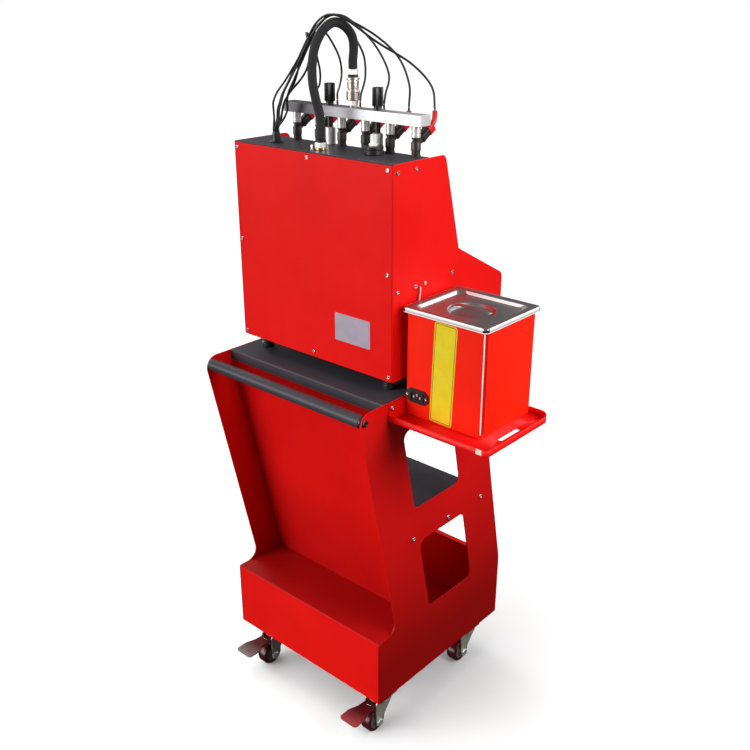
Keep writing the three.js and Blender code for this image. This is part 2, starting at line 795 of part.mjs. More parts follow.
// Fuel tank with a filler neck, and the pump beside it, on the base plate
const innerFloor = sheet + 2 * seat;
const tankHigh = innerFloor + fuelTankHeight;
const tankBlock = (inset, top) => block(
  [fuelTankOut + inset, -fuelTankIn - fuelTankDepth + inset, innerFloor + inset],
  [fuelTankOut + fuelTankWidth - inset, -fuelTankIn - inset, top],
);
const fillerX = fuelTankOut + fuelTankWidth / 2;
const fillerY = -fuelTankIn - fuelTankDepth / 2;
const neckRod = (radius, from, to) => moved(rod(radius, from, to, plainSides), fillerX, fillerY, 0);
const neck = neckRod(fillerRadius, tankHigh - sheet, tankHigh + fillerRadius);
const neckBore = neckRod(fillerRadius - sheet, tankHigh - 2 * sheet, tankHigh + 2 * fillerRadius);
const fuelTank = cut(join(tankBlock(0, tankHigh), neck), tankBlock(sheet, tankHigh - sheet), neckBore);
addPiece('fuel_tank', fuelTank, 'white', cabinet);

const pump = turned([
  [0, 0], [pumpCapRadius, 0], [pumpCapRadius, pumpCap], [pumpRadius, pumpCap],
  [pumpRadius, pumpLength - pumpCap], [pumpCapRadius, pumpLength - pumpCap],
  [pumpCapRadius, pumpLength], [pumpSpout, pumpLength], [pumpSpout, pumpLength + pumpRadius],
  [0, pumpLength + pumpRadius],
]);
addPiece('fuel_pump', moved(pump, pumpOut, -pumpIn - pumpRadius, innerFloor), 'steel', cabinet);

// Fuel rail and the pieces on the cabinet's top, drawn from the top plate
const topWorks = new THREE.Group();
topWorks.position.set(0, 0, cabinetTop);
part.add(topWorks);
const onTop = seat;

const railHigh = railRise + railHeight;
const postHole = rod(rodRadius + seat, railRise - overrun, railHigh + overrun, plainSides);
const postHoles = postPlaces.map((x) => moved(postHole, x, railY, 0));
const couplerBlind = rod(rodRadius, railRise + railHeight / 2, railHigh + overrun, plainSides);
const couplerHole = moved(couplerBlind, railCentre, railY, 0);
const railEnd = railLength / 2;
const railSide = railDepth / 2;
const railBar = extruded(
  rectangle(railCentre - railEnd, railY - railSide, railCentre + railEnd, railY + railSide),
  'z', railRise, railHigh,
);
addPiece('fuel_rail', cut(railBar, couplerHole, ...postHoles), 'steel', topWorks);

const knobLow = railHigh + seat;
['left', 'right'].forEach((side, i) => {
  const x = postPlaces[1 - i];
  const rodTop = knobLow + knobHeight - knobCap - seat;
  const post = turned([
    [0, onTop], [postRadius, onTop], [postRadius, onTop + postHeight], [rodRadius, onTop + postHeight],
    [rodRadius, rodTop], [0, rodTop],
  ]);
  addPiece(`rail_post_${side}`, moved(post, x, railY, 0), 'steel', topWorks);
  const knob = turned([
    [rodRadius + turning, knobLow], [knobNeckRadius, knobLow], [knobNeckRadius, knobLow + knobNeck],
    [knobRadius, knobLow + knobNeck + seat], [knobRadius, knobLow + knobHeight - thinSheet],
    [knobRadius - thinSheet, knobLow + knobHeight], [0, knobLow + knobHeight],
    [0, knobLow + knobHeight - knobCap], [rodRadius + turning, knobLow + knobHeight - knobCap],
  ]);
  addPiece(`clamp_knob_${side}`, moved(knob, x, railY, 0), 'black', topWorks);
});

// Injectors: turned body, plug tilted forward and upright boot
const injectorTop = railRise - seat;
const injectorProfile = [
  [0, -nozzleDrop], [nozzleRadius, -nozzleDrop], [nozzleRadius, onTop], [bodyRadius, onTop],
  [bodyRadius, bodyHeight], [neckRadius, bodyHeight + chamfer], [neckRadius, neckHeight],
  [ringRadius, neckHeight + chamfer], [ringRadius, ringHeight], [stemRadius, ringHeight + chamfer],
  [stemRadius, stemHeight], [collarRadius, stemHeight + chamfer], [collarRadius, injectorTop],
  [0, injectorTop],
];
const plug = block([-plugWidth / 2, -plugReach, -plugHeight / 2], [plugWidth / 2, 0, plugHeight / 2])
  .rotate([-THREE.MathUtils.radToDeg(plugTilt), 0, 0]);
const bootLow = bootTop - bootHeight;
const boot = turned([
  [0, bootLow - bootRoot], [bootRootRadius, bootLow - bootRoot], [bootRootRadius, bootLow],
  [bootRadius, bootTop - bootHeight / 3], [bootRadius, bootTop], [0, bootTop],
], smallSides);
const elbow = block([-bootRadius, -bootOut, elbowLow], [bootRadius, -bootOut + elbowLength, elbowHigh]);
const injector = join(
  turned(injectorProfile, plainSides),
  moved(plug, 0, -sheet, plugRise),
  elbow,
  moved(boot, 0, -bootOut, 0),
);
injectorPlaces.forEach((x, i) => {
  addPiece(`injector_${i + 1}`, moved(injector, x, railY, 0), 'black', topWorks);
});

// Quick coupler and its sliding sleeve on the rail
const couplerBase = railHigh + onTop;
const coupler = join(
  turned([
    [0, 0], [nippleRadius, 0], [nippleRadius, couplerNutLow], [couplerStemRadius, couplerNutLow + chamfer],
    [couplerStemRadius, couplerStemHigh], [couplerRingRadius, couplerStemHigh + seat],
    [couplerRingRadius, couplerRingHigh], [waistRadius, couplerRingHigh + seat], [waistRadius, waistHigh],
    [clampRadius, waistHigh + seat], [clampRadius, couplerHeight], [0, couplerHeight],
  ]),
  rod(couplerNutRadius, couplerNutLow, couplerNutHigh, hexSides),
);
const sleeveBore = couplerStemRadius + turning;
const sleeve = turned([
  [sleeveBore, sleeveLow], [sleeveRadius, sleeveLow], [sleeveRadius, sleeveHigh - sheet],
  [sleeveRadius - chamfer, sleeveHigh - sheet + chamfer], [sleeveRadius - chamfer, sleeveHigh],
  [sleeveBore, sleeveHigh],
]);
addPiece('quick_coupler', moved(coupler, railCentre, railY, couplerBase), 'steel', topWorks);
addPiece('coupler_sleeve', moved(sleeve, railCentre, railY, couplerBase), 'steel', topWorks);

// Hose fitting, cable gland and return fitting
const upperNutLow = hoseNutHeight + hoseRingHeight;
const hoseFitting = join(
  rod(hoseStemRadius, onTop, hoseStemHeight),
  rod(hoseNutRadius, onTop, hoseNutHeight, hexSides),
  rod(hoseRingRadius, hoseNutHeight, upperNutLow),
  rod(upperNutRadius, upperNutLow, upperNutLow + hoseNutHeight, hexSides),
);
addPiece('hose_fitting', moved(hoseFitting, ...hoseFoot, 0), 'steel', topWorks);

const gland = join(
  turned([
    [0, onTop], [glandFlangeRadius, onTop], [glandFlangeRadius, glandFlangeHeight],
    [glandStemRadius, glandFlangeHeight], [glandStemRadius, glandStemHeight], [glandTipRadius, glandHeight],
    [0, glandHeight],
  ]),
  rod(glandNutRadius, glandNutLow, glandNutHigh, hexSides),
);
addPiece('cable_gland', moved(gland, ...glandPlace, 0), 'black', topWorks);

const returnFitting = turned([
  [0, onTop], [ribRadius, onTop], [ribRadius, ribHeight], [grooveRadius, ribHeight + chamfer],
  [grooveRadius, ribHeight + sheet - chamfer], [ribRadius, ribHeight + sheet], [ribRadius, returnBase],
  [returnShoulderRadius, returnBase + seat], [returnStemRadius, returnBase + 2 * seat],
  [returnStemRadius, returnStemHeight], [returnTipRadius, returnHeight], [0, returnHeight],
]);
addPiece('return_fitting', moved(returnFitting, ...returnPlace, 0), 'black', topWorks);

// A route through hand-chosen points, with one ring of the tube at each point
class Route extends THREE.CatmullRomCurve3 {
  getPointAt(share) {
    return this.getPoint(share);
  }

  getTangentAt(share) {
    return this.getTangent(share);
  }
}

function tube(points, radius, sides) {
  const section = new THREE.Shape();
  section.absarc(0, 0, radius, 0, 2 * Math.PI);
  const extrudePath = new Route(points.map((point) => new THREE.Vector3(...point)));
  const options = { steps: points.length - 1, curveSegments: sides / 2, extrudePath };
  return solid(new THREE.ExtrudeGeometry(section, options));
}

// The hose's and leads' routes, from the base plane of the trolley
const routes = new THREE.Group();
routes.position.set(0, 0, casterHeight);
part.add(routes);

const hoseRoute = [
  [-2, -74, 1056.8], [-2.2, -74.2, 1074], [-2, -73, 1097], [1, -67.6, 1121.5], [3, -63.4, 1146],
  [3.4, -62.6, 1170], [2, -65, 1194], [-1, -71, 1214], [-6.5, -82.5, 1232.6], [-14.5, -98.5, 1242.6],
  [-23, -115, 1235.8], [-28.6, -126, 1220], [-29, -129, 1201], [-28, -128, 1184], [-28, -128, 1169.8],
];
addPiece('supply_hose', tube(hoseRoute, hoseRadius, smallSides), 'sleeve', routes);

const leadRoutes = [
  [
    [115.3, -85.8, 1058.6], [114.9, -85.8, 1065.1], [110, -88.2, 1079.1], [106.6, -89, 1094.8],
    [100.7, -88.8, 1108.9], [89.1, -92.8, 1126.3], [70.1, -99.5, 1147], [60.6, -105.6, 1163.6],
    [50.8, -104.3, 1182.1], [47, -113, 1200], [62, -135, 1180], [84, -163, 1155], [103, -180, 1132],
    [110.5, -177, 1120], [110.5, -176, 1109.7],
  ],
  [
    [119.7, -85.8, 1058.6], [119.3, -85.8, 1065.1], [114.4, -90.7, 1078.5], [110, -92.7, 1094.2],
    [104.3, -92.2, 1108.4], [93.6, -95.4, 1125.8], [79.6, -97, 1146.6], [59.8, -92.8, 1182.3],
    [35.8, -95.8, 1219.2], [29, -118, 1226], [45, -157, 1204], [66, -195, 1177], [74, -208, 1151],
    [67, -195, 1131], [56.5, -178, 1120], [55.1, -176, 1109.7],
  ],
  [
    [113.1, -82, 1058.6], [112.7, -82, 1065.1], [103.3, -88, 1079.7], [96.9, -92, 1095.3],
    [93.6, -89, 1109.4], [87.4, -87.4, 1126.8], [74.2, -88.2, 1147.5], [54.4, -89, 1178.5],
    [30.3, -92, 1215.6], [17, -106, 1233], [-5, -129, 1234], [-1, -160, 1218], [1, -187, 1186],
    [2, -192, 1150], [0, -179, 1123], [-0.3, -176, 1109.7],
  ],
  [
    [121.9, -82, 1058.6], [121.5, -82, 1065.1], [116.6, -84.7, 1078.9], [114.2, -84.6, 1094.6],
    [107.9, -84.7, 1108.7], [99.5, -85.5, 1126.1], [85.3, -87.4, 1146.9], [61.6, -89, 1183.5],
    [37.7, -92, 1220.4], [15, -101, 1244], [-7, -105, 1253.4], [-27, -121, 1246.8], [-47, -160, 1208],
    [-59, -184, 1160], [-57, -178, 1126], [-55.7, -176, 1109.7],
  ],
  [
    [115.3, -78.2, 1058.6], [114.9, -78.2, 1065.1], [109.8, -81.8, 1079.8], [107.2, -81.9, 1095.4],
    [101.1, -81.8, 1109.5], [93.4, -81.9, 1126.8], [79.6, -83.4, 1147.6], [56.2, -85.2, 1179.7],
    [32.2, -88.2, 1216.8], [12, -94, 1241], [-10, -98.5, 1254.5], [-36, -112, 1245.5], [-70, -141, 1221],
    [-97, -165, 1188], [-111, -176, 1146], [-111.1, -176, 1109.7],
  ],
  [
    [119.7, -78.2, 1058.6], [119.3, -78.2, 1065.1], [117.3, -78.2, 1079.5], [116, -76.7, 1095.2],
    [112.7, -73.7, 1109.3], [103.5, -75.4, 1126.7], [86.7, -80.2, 1147.3], [59.8, -85.2, 1182.3],
    [35.8, -88.2, 1219.2], [14, -88, 1243], [-10, -92, 1254.5], [-37, -105, 1246], [-80, -130, 1213],
    [-130, -157, 1181], [-160, -174, 1146], [-166.5, -176, 1109.7],
  ],
];
leadRoutes.forEach((route, i) => {
  addPiece(`injector_lead_${i + 1}`, tube(route, leadRadius, smallSides), 'black', routes);
});

// Casters: fork, wheel and, at the rear, brake pedal, drawn about the swivel axis
const legLow = axleHeight - axleBoss;

function casterFork() {
  const crown = rod(crownRadius, crownLow, crownTop, fineSides);
  const leg = outline([
    [-crownRadius, crownTop, smallCorner], [-crownRadius, crownLow, smallCorner],
    [casterTrail - axleBoss, legLow, axleBoss], [casterTrail + axleBoss, legLow, axleBoss],
    [casterTrail + axleBoss, crownLow, smallCorner], [casterTrail + smallCorner, crownTop],
  ]);
  const rightLeg = extruded(leg, 'x', legSpread, legSpread + legThickness);
  const axle = moved(rod(axleRadius, -axleEnd, axleEnd, plainSides, 'x'), 0, casterTrail, axleHeight);
  const nut = moved(rod(axleNutRadius, legSpread + legThickness - seat, axleEnd - sheet, hexSides, 'x'),
    0, casterTrail, axleHeight);
  const kingHole = rod(kingRadius + turning, crownLow - overrun, crownTop + overrun, plainSides);
  return cut(join(crown, rightLeg, mirrored(rightLeg), axle, nut, mirrored(nut)), kingHole);
}

function casterWheel() {
  const wide = wheelWidth / 2;
  const hole = axleRadius + turning;
  const shoulder = wheelRadius - wheelDish;
  const wheel = turned([
    [hole, -wide], [hubRadius, -wide], [hubRadius + wheelDish / 2, -wide + wheelDish],
    [shoulder - wheelDish, -wide + wheelDish], [shoulder, -wide],
    [wheelRadius, -wide + wheelDish], [wheelRadius, wide - wheelDish],
    [shoulder, wide], [shoulder - wheelDish, wide - wheelDish],
    [hubRadius + wheelDish / 2, wide - wheelDish], [hubRadius, wide], [hole, wide],
  ], fineSides, 'x');
  return moved(wheel, 0, casterTrail, axleHeight);
}

// Brake pedal: a tongue between the fork's legs, a shoe over the wheel and a wide plate to step on
const pedalPinY = casterTrail - pedalPinIn;
const pedalTop = crownLow - kingHeadHeight - 2 * seat;
const pedalLow = pedalTop - pedalThickness;
const pedalPinZ = pedalLow - pedalPinRadius / 2;
const legRear = casterTrail + axleBoss;

function brakePedal() {
  const tongueHalf = legSpread - turning;
  const tongue = block([-tongueHalf, pedalPinY - pedalPinRadius, pedalLow],
    [tongueHalf, legRear + sheet, pedalTop]);
  const pin = moved(rod(pedalPinRadius, -tongueHalf, tongueHalf, smallSides, 'x'), 0, pedalPinY, pedalPinZ);
  const shoeLow = axleHeight + wheelRadius + brakeGap;
  const shoe = block([-tongueHalf, legRear - sheet, shoeLow], [tongueHalf, legRear + sheet, pedalTop]);
  const tip = pedalPinY + pedalReach;
  const wide = pedalWidth / 2;
  const top = outline([
    [-wide, legRear + turning, smallCorner], [-wide, tip, 2 * smallCorner],
    [wide, tip, 2 * smallCorner], [wide, legRear + turning, smallCorner],
  ]);
  const plateShape = extruded(top, 'z', pedalLow, pedalTop);
  const skirt = outline([
    [legRear + turning, pedalTop - sheet], [legRear + turning, pedalTop - pedalSkirt],
    [tip - pedalSkirt, pedalLow], [tip - pedalSkirt, pedalTop - sheet],
  ]);
  const rightSkirt = extruded(skirt, 'x', wide - pedalThickness, wide);
  return join(tongue, pin, shoe, plateShape, rightSkirt, mirrored(rightSkirt));
}

casterPlaces.forEach(([name, x, y]) => {
  const caster = new THREE.Group();
  caster.position.set(x, y, 0);
  part.add(caster);
  addPiece(`caster_fork_${name}`, casterFork(), 'steel', caster);
  addPiece(`caster_wheel_${name}`, casterWheel(), 'rubber', caster);
  if (name.startsWith('rear')) addPiece(`brake_pedal_${name}`, brakePedal(), 'red', caster);
});

// The origin goes to the middle of the footprint, without the hose and the leads
part.updateMatrixWorld(true);
const bounds = new THREE.Box3();
part.traverse((piece) => {
  if (piece.isMesh && piece.parent !== routes) bounds.expandByObject(piece);
});
const middle = bounds.getCenter(new THREE.Vector3());
part.position.set(-middle.x, -middle.y, -bounds.min.z);

export default part;
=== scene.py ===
# %% [markdown]
# # A workshop trolley with an injector tester and an ultrasonic bath
# The object is a welded and folded sheet steel trolley. It carries a tester cabinet, with a fuel rail and six
# injectors on its top, and a small ultrasonic bath on a side tray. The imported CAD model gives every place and
# size. This scene gives each piece its folds, rounded edges, small fasteners and finish.

# %% The frame
import math

import bmesh
import bpy
from mathutils import Euler, Matrix, Vector


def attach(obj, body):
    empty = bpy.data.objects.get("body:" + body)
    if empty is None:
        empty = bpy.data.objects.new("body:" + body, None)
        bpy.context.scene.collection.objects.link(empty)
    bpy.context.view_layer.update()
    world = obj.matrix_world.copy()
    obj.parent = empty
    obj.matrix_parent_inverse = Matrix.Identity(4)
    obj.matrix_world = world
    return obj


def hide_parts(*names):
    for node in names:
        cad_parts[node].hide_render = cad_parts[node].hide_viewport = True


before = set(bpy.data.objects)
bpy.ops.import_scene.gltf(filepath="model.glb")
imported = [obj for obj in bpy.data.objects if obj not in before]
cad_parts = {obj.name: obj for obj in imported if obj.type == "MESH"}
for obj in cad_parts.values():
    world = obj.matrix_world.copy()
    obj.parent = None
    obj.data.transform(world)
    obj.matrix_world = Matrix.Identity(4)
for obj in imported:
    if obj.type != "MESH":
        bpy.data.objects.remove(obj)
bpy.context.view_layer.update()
print("CAD nodes:", len(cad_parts))

# %% [markdown]
# ## Measures
# Sheet metal work is drawn in millimetres from one corner of the object. Here that is the middle of the trolley's
# rear bottom edge, with z from the floor. One matrix turns such a drawing into the row's metres at the very end,
# so each finished object sits at the origin, unturned and unscaled.

# %% Measures shared by the pieces
ORIGIN = Vector((0.104, 0.174891, 0))
TO_ROW = Matrix.Translation(ORIGIN) @ Matrix.Scale(0.001, 4)
SEAT = 0.3            # the hair's breadth between two pieces that touch
SHEET = 2             # the steel sheets' thickness
FLOOR_Z = 108         # the side panels' lower edge
BASE_TOP = 250.8      # the rear step's ledge
DECK_Z = 748          # the trolley's top plate
CABINET_Z = 775.2     # the cabinet's lower edge
CABINET_Y = -45.3     # the cabinet's rear face
TOP_Z = 1147.1        # the cabinet's top plate
HALF = 200            # half the trolley's width
INNER = 197.7         # half the width between its side panels
CABINET_HALF = 189.7  # half the cabinet's width
SIDE_DEPTH = 345.2    # a side panel's depth between its two leaning edges
LEAN_FOOT = -83.6     # where the leaning edge's line meets the height FLOOR_Z
LEAN = 0.2137         # how far that edge moves for each millimetre of height
RAIL_X, RAIL_Y = -28, -128
RAIL_LOW = TOP_Z + 50
RAIL_HIGH = RAIL_LOW + 17.5
PITCH = 55.4          # from one injector to the next
INJECTORS = [RAIL_X + PITCH * (2.5 - number) for number in range(6)]


def lean_at(height):
    """Where the leaning rear edge of a side panel is, at a height above the floor."""
    return LEAN_FOOT + LEAN * (height - FLOOR_Z)


def row(x, y, z):
    """A place in trolley millimetres as a place in the row, in metres."""
    return TO_ROW @ Vector((x, y, z))


print("the trolley's top corner in the row:", row(HALF, 0, DECK_Z))

# %% [markdown]
# ## The camera
# The picture was taken from the trolley's rear left corner, from above its deck, with a long standard lens. The
# upright edges run together downwards, so the camera is tilted and not shifted.

# %% Camera
camera = bpy.data.objects.new("camera", bpy.data.cameras.new("camera"))
camera.location = (-1.0334, 1.2455, 1.4084)
camera.rotation_euler = (math.radians(67.14), 0, math.radians(221.49))
camera.data.lens = 44.55
camera.data.sensor_width = 36
bpy.context.scene.collection.objects.link(camera)
bpy.context.scene.camera = camera
print("camera at", camera.location, "with a lens of", camera.data.lens, "mm")

# %% [markdown]
# ## Small tools for shapes
# Folded sheet, turned metal and moulded plastic need only a few moves: a flat outline with rounded corners that is
# pulled to a thickness, a profile spun round an axis, and a section swept along a line. Each helper starts a new
# bmesh and returns it, so a piece is a list of such forms, gathered into one mesh. The first helpers move a form.
# A turn can flip a form inside out, so its face normals are worked out again.

# %% Moving a form
TURNS = {
    "x": Matrix(((0, 0, 1, 0), (1, 0, 0, 0), (0, 1, 0, 0), (0, 0, 0, 1))),
    "y": Matrix(((1, 0, 0, 0), (0, 0, 1, 0), (0, 1, 0, 0), (0, 0, 0, 1))),
    "z": Matrix.Identity(4),
}


def turn(form, matrix):
    """Moves or turns a form, and points its faces outwards again."""
    bmesh.ops.transform(form, matrix=matrix, verts=form.verts)
    bmesh.ops.recalc_face_normals(form, faces=form.faces)
    return form


def shift(form, x=0, y=0, z=0):
    bmesh.ops.translate(form, verts=form.verts, vec=(x, y, z))
    return form


print("axes a form can stand along:", list(TURNS))

# %% [markdown]
# ### Plates
# Most of the object is cut from sheet. A plate is one face with rounded corners, pulled to its thickness. Holes
# could be cut with a Boolean modifier, but that leaves slivers. Filling the space between the outer loop and the
# hole loops gives a clean face before anything is pulled.

# %% Plates with rounded corners and holes
def rounded_face(form, corners, segments=8):
    """A flat face through corners (u, v, radius), each rounded by its own radius."""
    points = [form.verts.new((corner[0], corner[1], 0)) for corner in corners]
    form.faces.new(points)
    for number, corner in enumerate(corners):
        if len(corner) < 3:
            continue
        here = Vector(corner[:2])
        before = Vector(corners[number - 1][:2]) - here
        after = Vector(corners[(number + 1) % len(corners)][:2]) - here
        reach = corner[2] / math.tan(before.angle(after) / 2)
        bmesh.ops.bevel(form, geom=[points[number]], offset=reach, segments=segments, profile=0.5,
                        affect="VERTICES", material=-1)


def face_with_holes(corners, holes=(), segments=8):
    """A flat face with holes, as an open form in the plane of the outline."""
    form = bmesh.new()
    for loop in (corners, *holes):
        rounded_face(form, loop, segments)
    if holes:
        bmesh.ops.delete(form, geom=form.faces[:], context="FACES_ONLY")
        bmesh.ops.triangle_fill(form, edges=form.edges[:], use_beauty=True)
    return form


def plate(corners, axis, low, high, holes=(), segments=8):
    """A plate with rounded corners and holes, drawn square to an axis and pulled from low to high."""
    form = face_with_holes(corners, holes, segments)
    pulled = bmesh.ops.extrude_face_region(form, geom=form.faces[:])["geom"]
    bmesh.ops.translate(form, verts=[v for v in pulled if isinstance(v, bmesh.types.BMVert)],
                        vec=(0, 0, high - low))
    bmesh.ops.translate(form, verts=form.verts, vec=(0, 0, low))
    return turn(form, TURNS[axis])


def rectangle(u0, v0, u1, v1, radius=None):
    corners = [(u0, v0), (u1, v0), (u1, v1), (u0, v1)]
    return [(*corner, radius) for corner in corners] if radius else corners


def box(low, high, radius=None):
    """A block between two corners, its upright edges rounded."""
    return plate(rectangle(low[0], low[1], high[0], high[1], radius), "z", low[2], high[2])


sample = box((0, 0, 0), (30, 20, SHEET), 4)
print("a plate with four rounded corners has", len(sample.faces), "faces")
sample.free()

# %% [markdown]
# ### Turned pieces
# Knobs, tubes, wheels and fittings come off a lathe. Half of their section, drawn as a line and spun once round,
# gives the same form. The spin's seam and its poles are merged, so the mesh is closed.

# %% Turned pieces
def turned(profile, axis="z", steps=48):
    """A piece turned from profile points (radius, height) along an axis."""
    form = bmesh.new()
    points = [form.verts.new((radius, 0, height)) for radius, height in profile]
    edges = [form.edges.new(pair) for pair in zip(points, points[1:])]
    bmesh.ops.spin(form, geom=[*points, *edges], cent=(0, 0, 0), axis=(0, 0, 1), angle=2 * math.pi,
                   steps=steps, use_merge=True)
    bmesh.ops.remove_doubles(form, verts=form.verts, dist=0.0005)
    return turn(form, TURNS[axis])


def rod(radius, low, high, axis="z", steps=48):
    return turned([(0, low), (radius, low), (radius, high), (0, high)], axis, steps)


sample = rod(5, 0, 20)
print("a rod is closed:", all(edge.is_manifold for edge in sample.edges))
sample.free()

# %% [markdown]
# ### Bars and cords along a line
# A wire, a cord or a bent tube is a circle swept along a line. A curve with a bevel depth does it, and its mesh
# already carries a UV map that runs along and around it. A smooth line through a few points saves many by hand.

# %% Swept bars
def swept(points, radius, sides=10):
    """A round bar through points, as a capped mesh."""
    curve = bpy.data.curves.new("swept", "CURVE")
    curve.dimensions = "3D"
    curve.bevel_depth = radius
    curve.bevel_resolution = sides // 2
    curve.use_fill_caps = True
    spline = curve.splines.new("POLY")
    spline.points.add(len(points) - 1)
    for point, place in zip(spline.points, points):
        point.co = (*place, 1)
    holder = bpy.data.objects.new("swept", curve)
    mesh = bpy.data.meshes.new_from_object(holder)
    form = bmesh.new()
    form.from_mesh(mesh)
    bpy.data.objects.remove(holder)
    bpy.data.meshes.remove(mesh)
    bpy.data.curves.remove(curve)
    return form


def smooth_line(points, steps=8):
    """A smooth line through points (a Catmull-Rom curve), as many short steps."""
    places = [Vector(point) for point in points]
    places = [2 * places[0] - places[1], *places, 2 * places[-1] - places[-2]]
    line = []
    for a, b, c, d in zip(places, places[1:], places[2:], places[3:]):
        for step in range(steps):
            t = step / steps
            line.append(0.5 * (2 * b + (c - a) * t + (2 * a - 5 * b + 4 * c - d) * t ** 2
                               + (3 * b - a - 3 * c + d) * t ** 3))
    return [*line, places[-2]]


# %% [markdown]
# ## From forms to a finished object
# One piece is often welded or moulded from several simple forms. Gathering them in one mesh keeps them one object,
# and a number with each form tells which of the piece's materials it wears.

# %% Gathering forms
def gather(*forms):
    """One bmesh from forms, or from (form, material number) pairs."""
    whole = bmesh.new()
    for entry in forms:
        form, number = entry if isinstance(entry, tuple) else (entry, None)
        if number is not None:
            for face in form.faces:
                face.material_index = number
        mesh = bpy.data.meshes.new("form")
        form.to_mesh(mesh)
        form.free()
        whole.from_mesh(mesh)
        bpy.data.meshes.remove(mesh)
    return whole


def copies(form, matrices):
    """The same form at several places, gathered."""
    mesh = bpy.data.meshes.new("form")
    form.to_mesh(mesh)
    form.free()
    whole = bmesh.new()
    for matrix in matrices:
        one = bmesh.new()
        one.from_mesh(mesh)
        turn(one, matrix)
        placed = bpy.data.meshes.new("form")
        one.to_mesh(placed)
        one.free()
        whole.from_mesh(placed)
        bpy.data.meshes.remove(placed)
    bpy.data.meshes.remove(mesh)
    return whole


# %% [markdown]
# ### The object and its edges
# A real pressed or machined edge is never perfectly sharp: it catches a thin line of light. A Bevel modifier with
# hardened normals rounds every edge that turns by more than a set angle, and keeps flat faces flat.

# %% Finished pieces
PIECES = []
BEVEL_FROM = math.radians(32)
SHARP_FROM = math.radians(40)


def finish_piece(name, form, materials, body="frame", replaces=(), edge=0.5, segments=3):
    """Turns a form in trolley millimetres into an object of the scene that rides on a body."""
    bmesh.ops.transform(form, matrix=TO_ROW, verts=form.verts)
    mesh = bpy.data.meshes.new(name)
    form.to_mesh(mesh)
    form.free()
    for material in materials if isinstance(materials, list) else [materials]:
        mesh.materials.append(material)
    mesh.shade_smooth()
    piece = bpy.data.objects.new(name, mesh)
    bpy.context.scene.collection.objects.link(piece)
    if edge:
        bevel = piece.modifiers.new("edge", "BEVEL")
        bevel.width = edge / 1000
        bevel.segments = segments
        bevel.limit_method = "ANGLE"
        bevel.angle_limit = BEVEL_FROM
        bevel.harden_normals = True
        bevel.use_clamp_overlap = True
    mesh.set_sharp_from_angle(angle=SHARP_FROM)
    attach(piece, body)
    if replaces:
        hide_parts(*([replaces] if isinstance(replaces, str) else replaces))
    PIECES.append(piece)
    print(f"{name}: {len(mesh.polygons)} faces, on the body {body}")
    return piece


# %% [markdown]
# ## Finishes
# Every finish starts from the Principled shader, which covers paint, metal, plastic and glass with one set of
# sockets. The helpers below set its values and link nodes to it, so each finish is only a few short lines.

# %% A finish and its nodes
def new_finish(name, base, roughness, metallic=0.0, **sockets):
    """A material with a Principled shader, and its node tree."""
    material = bpy.data.materials.new(name)
    material.use_nodes = True
    principled = material.node_tree.nodes["Principled BSDF"]
    principled.inputs["Base Color"].default_value = (*base, 1)
    principled.inputs["Roughness"].default_value = roughness
    principled.inputs["Metallic"].default_value = metallic
    for socket, value in sockets.items():
        principled.inputs[socket.replace("_", " ")].default_value = value
    return material


def add_node(material, kind, inputs=(), **settings):
    """A node with its settings, and its inputs given as values or as sockets to link from."""
    made = material.node_tree.nodes.new(kind)
    for key, value in settings.items():
        setattr(made, key, value)
    for key, value in dict(inputs).items():
        if isinstance(value, bpy.types.NodeSocket):
            material.node_tree.links.new(value, made.inputs[key])
        else:
            made.inputs[key].default_value = value
    return made


def socket_of(material, name):
    return material.node_tree.nodes["Principled BSDF"].inputs[name]


def link_to(material, output, name):
    material.node_tree.links.new(output, socket_of(material, name))


# %% [markdown]
# ### Patterns
# No real surface has one even gloss. A noise pattern makes gloss and colour drift a little, and a fine one makes
# the bump. The noise reads Object coordinates, which are metres, so a scale of 700 gives grains of about 1.4 mm.

# %% Patterns of gloss, colour and relief
def noise(material, scale, detail=2.0, stretch=(1, 1, 1)):
    """A noise pattern in Object coordinates, stretched along an axis where stretch is small."""
    place = add_node(material, "ShaderNodeTexCoord").outputs["Object"]
    mapped = add_node(material, "ShaderNodeMapping", {"Vector": place, "Scale": stretch})
    return add_node(material, "ShaderNodeTexNoise", {"Vector": mapped.outputs[0], "Scale": scale, "Detail": detail})


def ranged(material, value, low, high):
    """A pattern's 0.3 to 0.7 stretched to low to high."""
    return add_node(material, "ShaderNodeMapRange",
                    {"Value": value, "From Min": 0.3, "From Max": 0.7, "To Min": low, "To Max": high}).outputs[0]


def blend_colours(material, share, first, second):
    """A colour between two, each a colour or a socket. 6 and 7 are the colour inputs of a Mix node."""
    mixed = add_node(material, "ShaderNodeMix", data_type="RGBA")
    material.node_tree.links.new(share, mixed.inputs[0])
    for number, value in ((6, first), (7, second)):
        if isinstance(value, bpy.types.NodeSocket):
            material.node_tree.links.new(value, mixed.inputs[number])
        else:
            mixed.inputs[number].default_value = (*value, 1)
    return mixed.outputs[2]


def vary_roughness(material, scale, low, high, stretch=(1, 1, 1)):
    pattern = noise(material, scale, 3.0, stretch)
    link_to(material, ranged(material, pattern.outputs[0], low, high), "Roughness")


def vary_colour(material, scale, dark, light, stretch=(1, 1, 1)):
    """Base colour that drifts between two shades."""
    pattern = noise(material, scale, 3.0, stretch)
    link_to(material, blend_colours(material, ranged(material, pattern.outputs[0], 0, 1), dark, light), "Base Color")


def add_bump(material, height, strength, distance):
    """Fine relief from a pattern, its depth in metres."""
    bump = add_node(material, "ShaderNodeBump", {"Height": height, "Strength": strength, "Distance": distance})
    link_to(material, bump.outputs[0], "Normal")


# %% [markdown]
# ### Powder coat
# Powder coat is sprayed as dust and baked until it flows, which leaves a slight orange peel: soft dimples about a
# millimetre across. It shows only in the highlights, so it belongs in the bump and not in the colour.

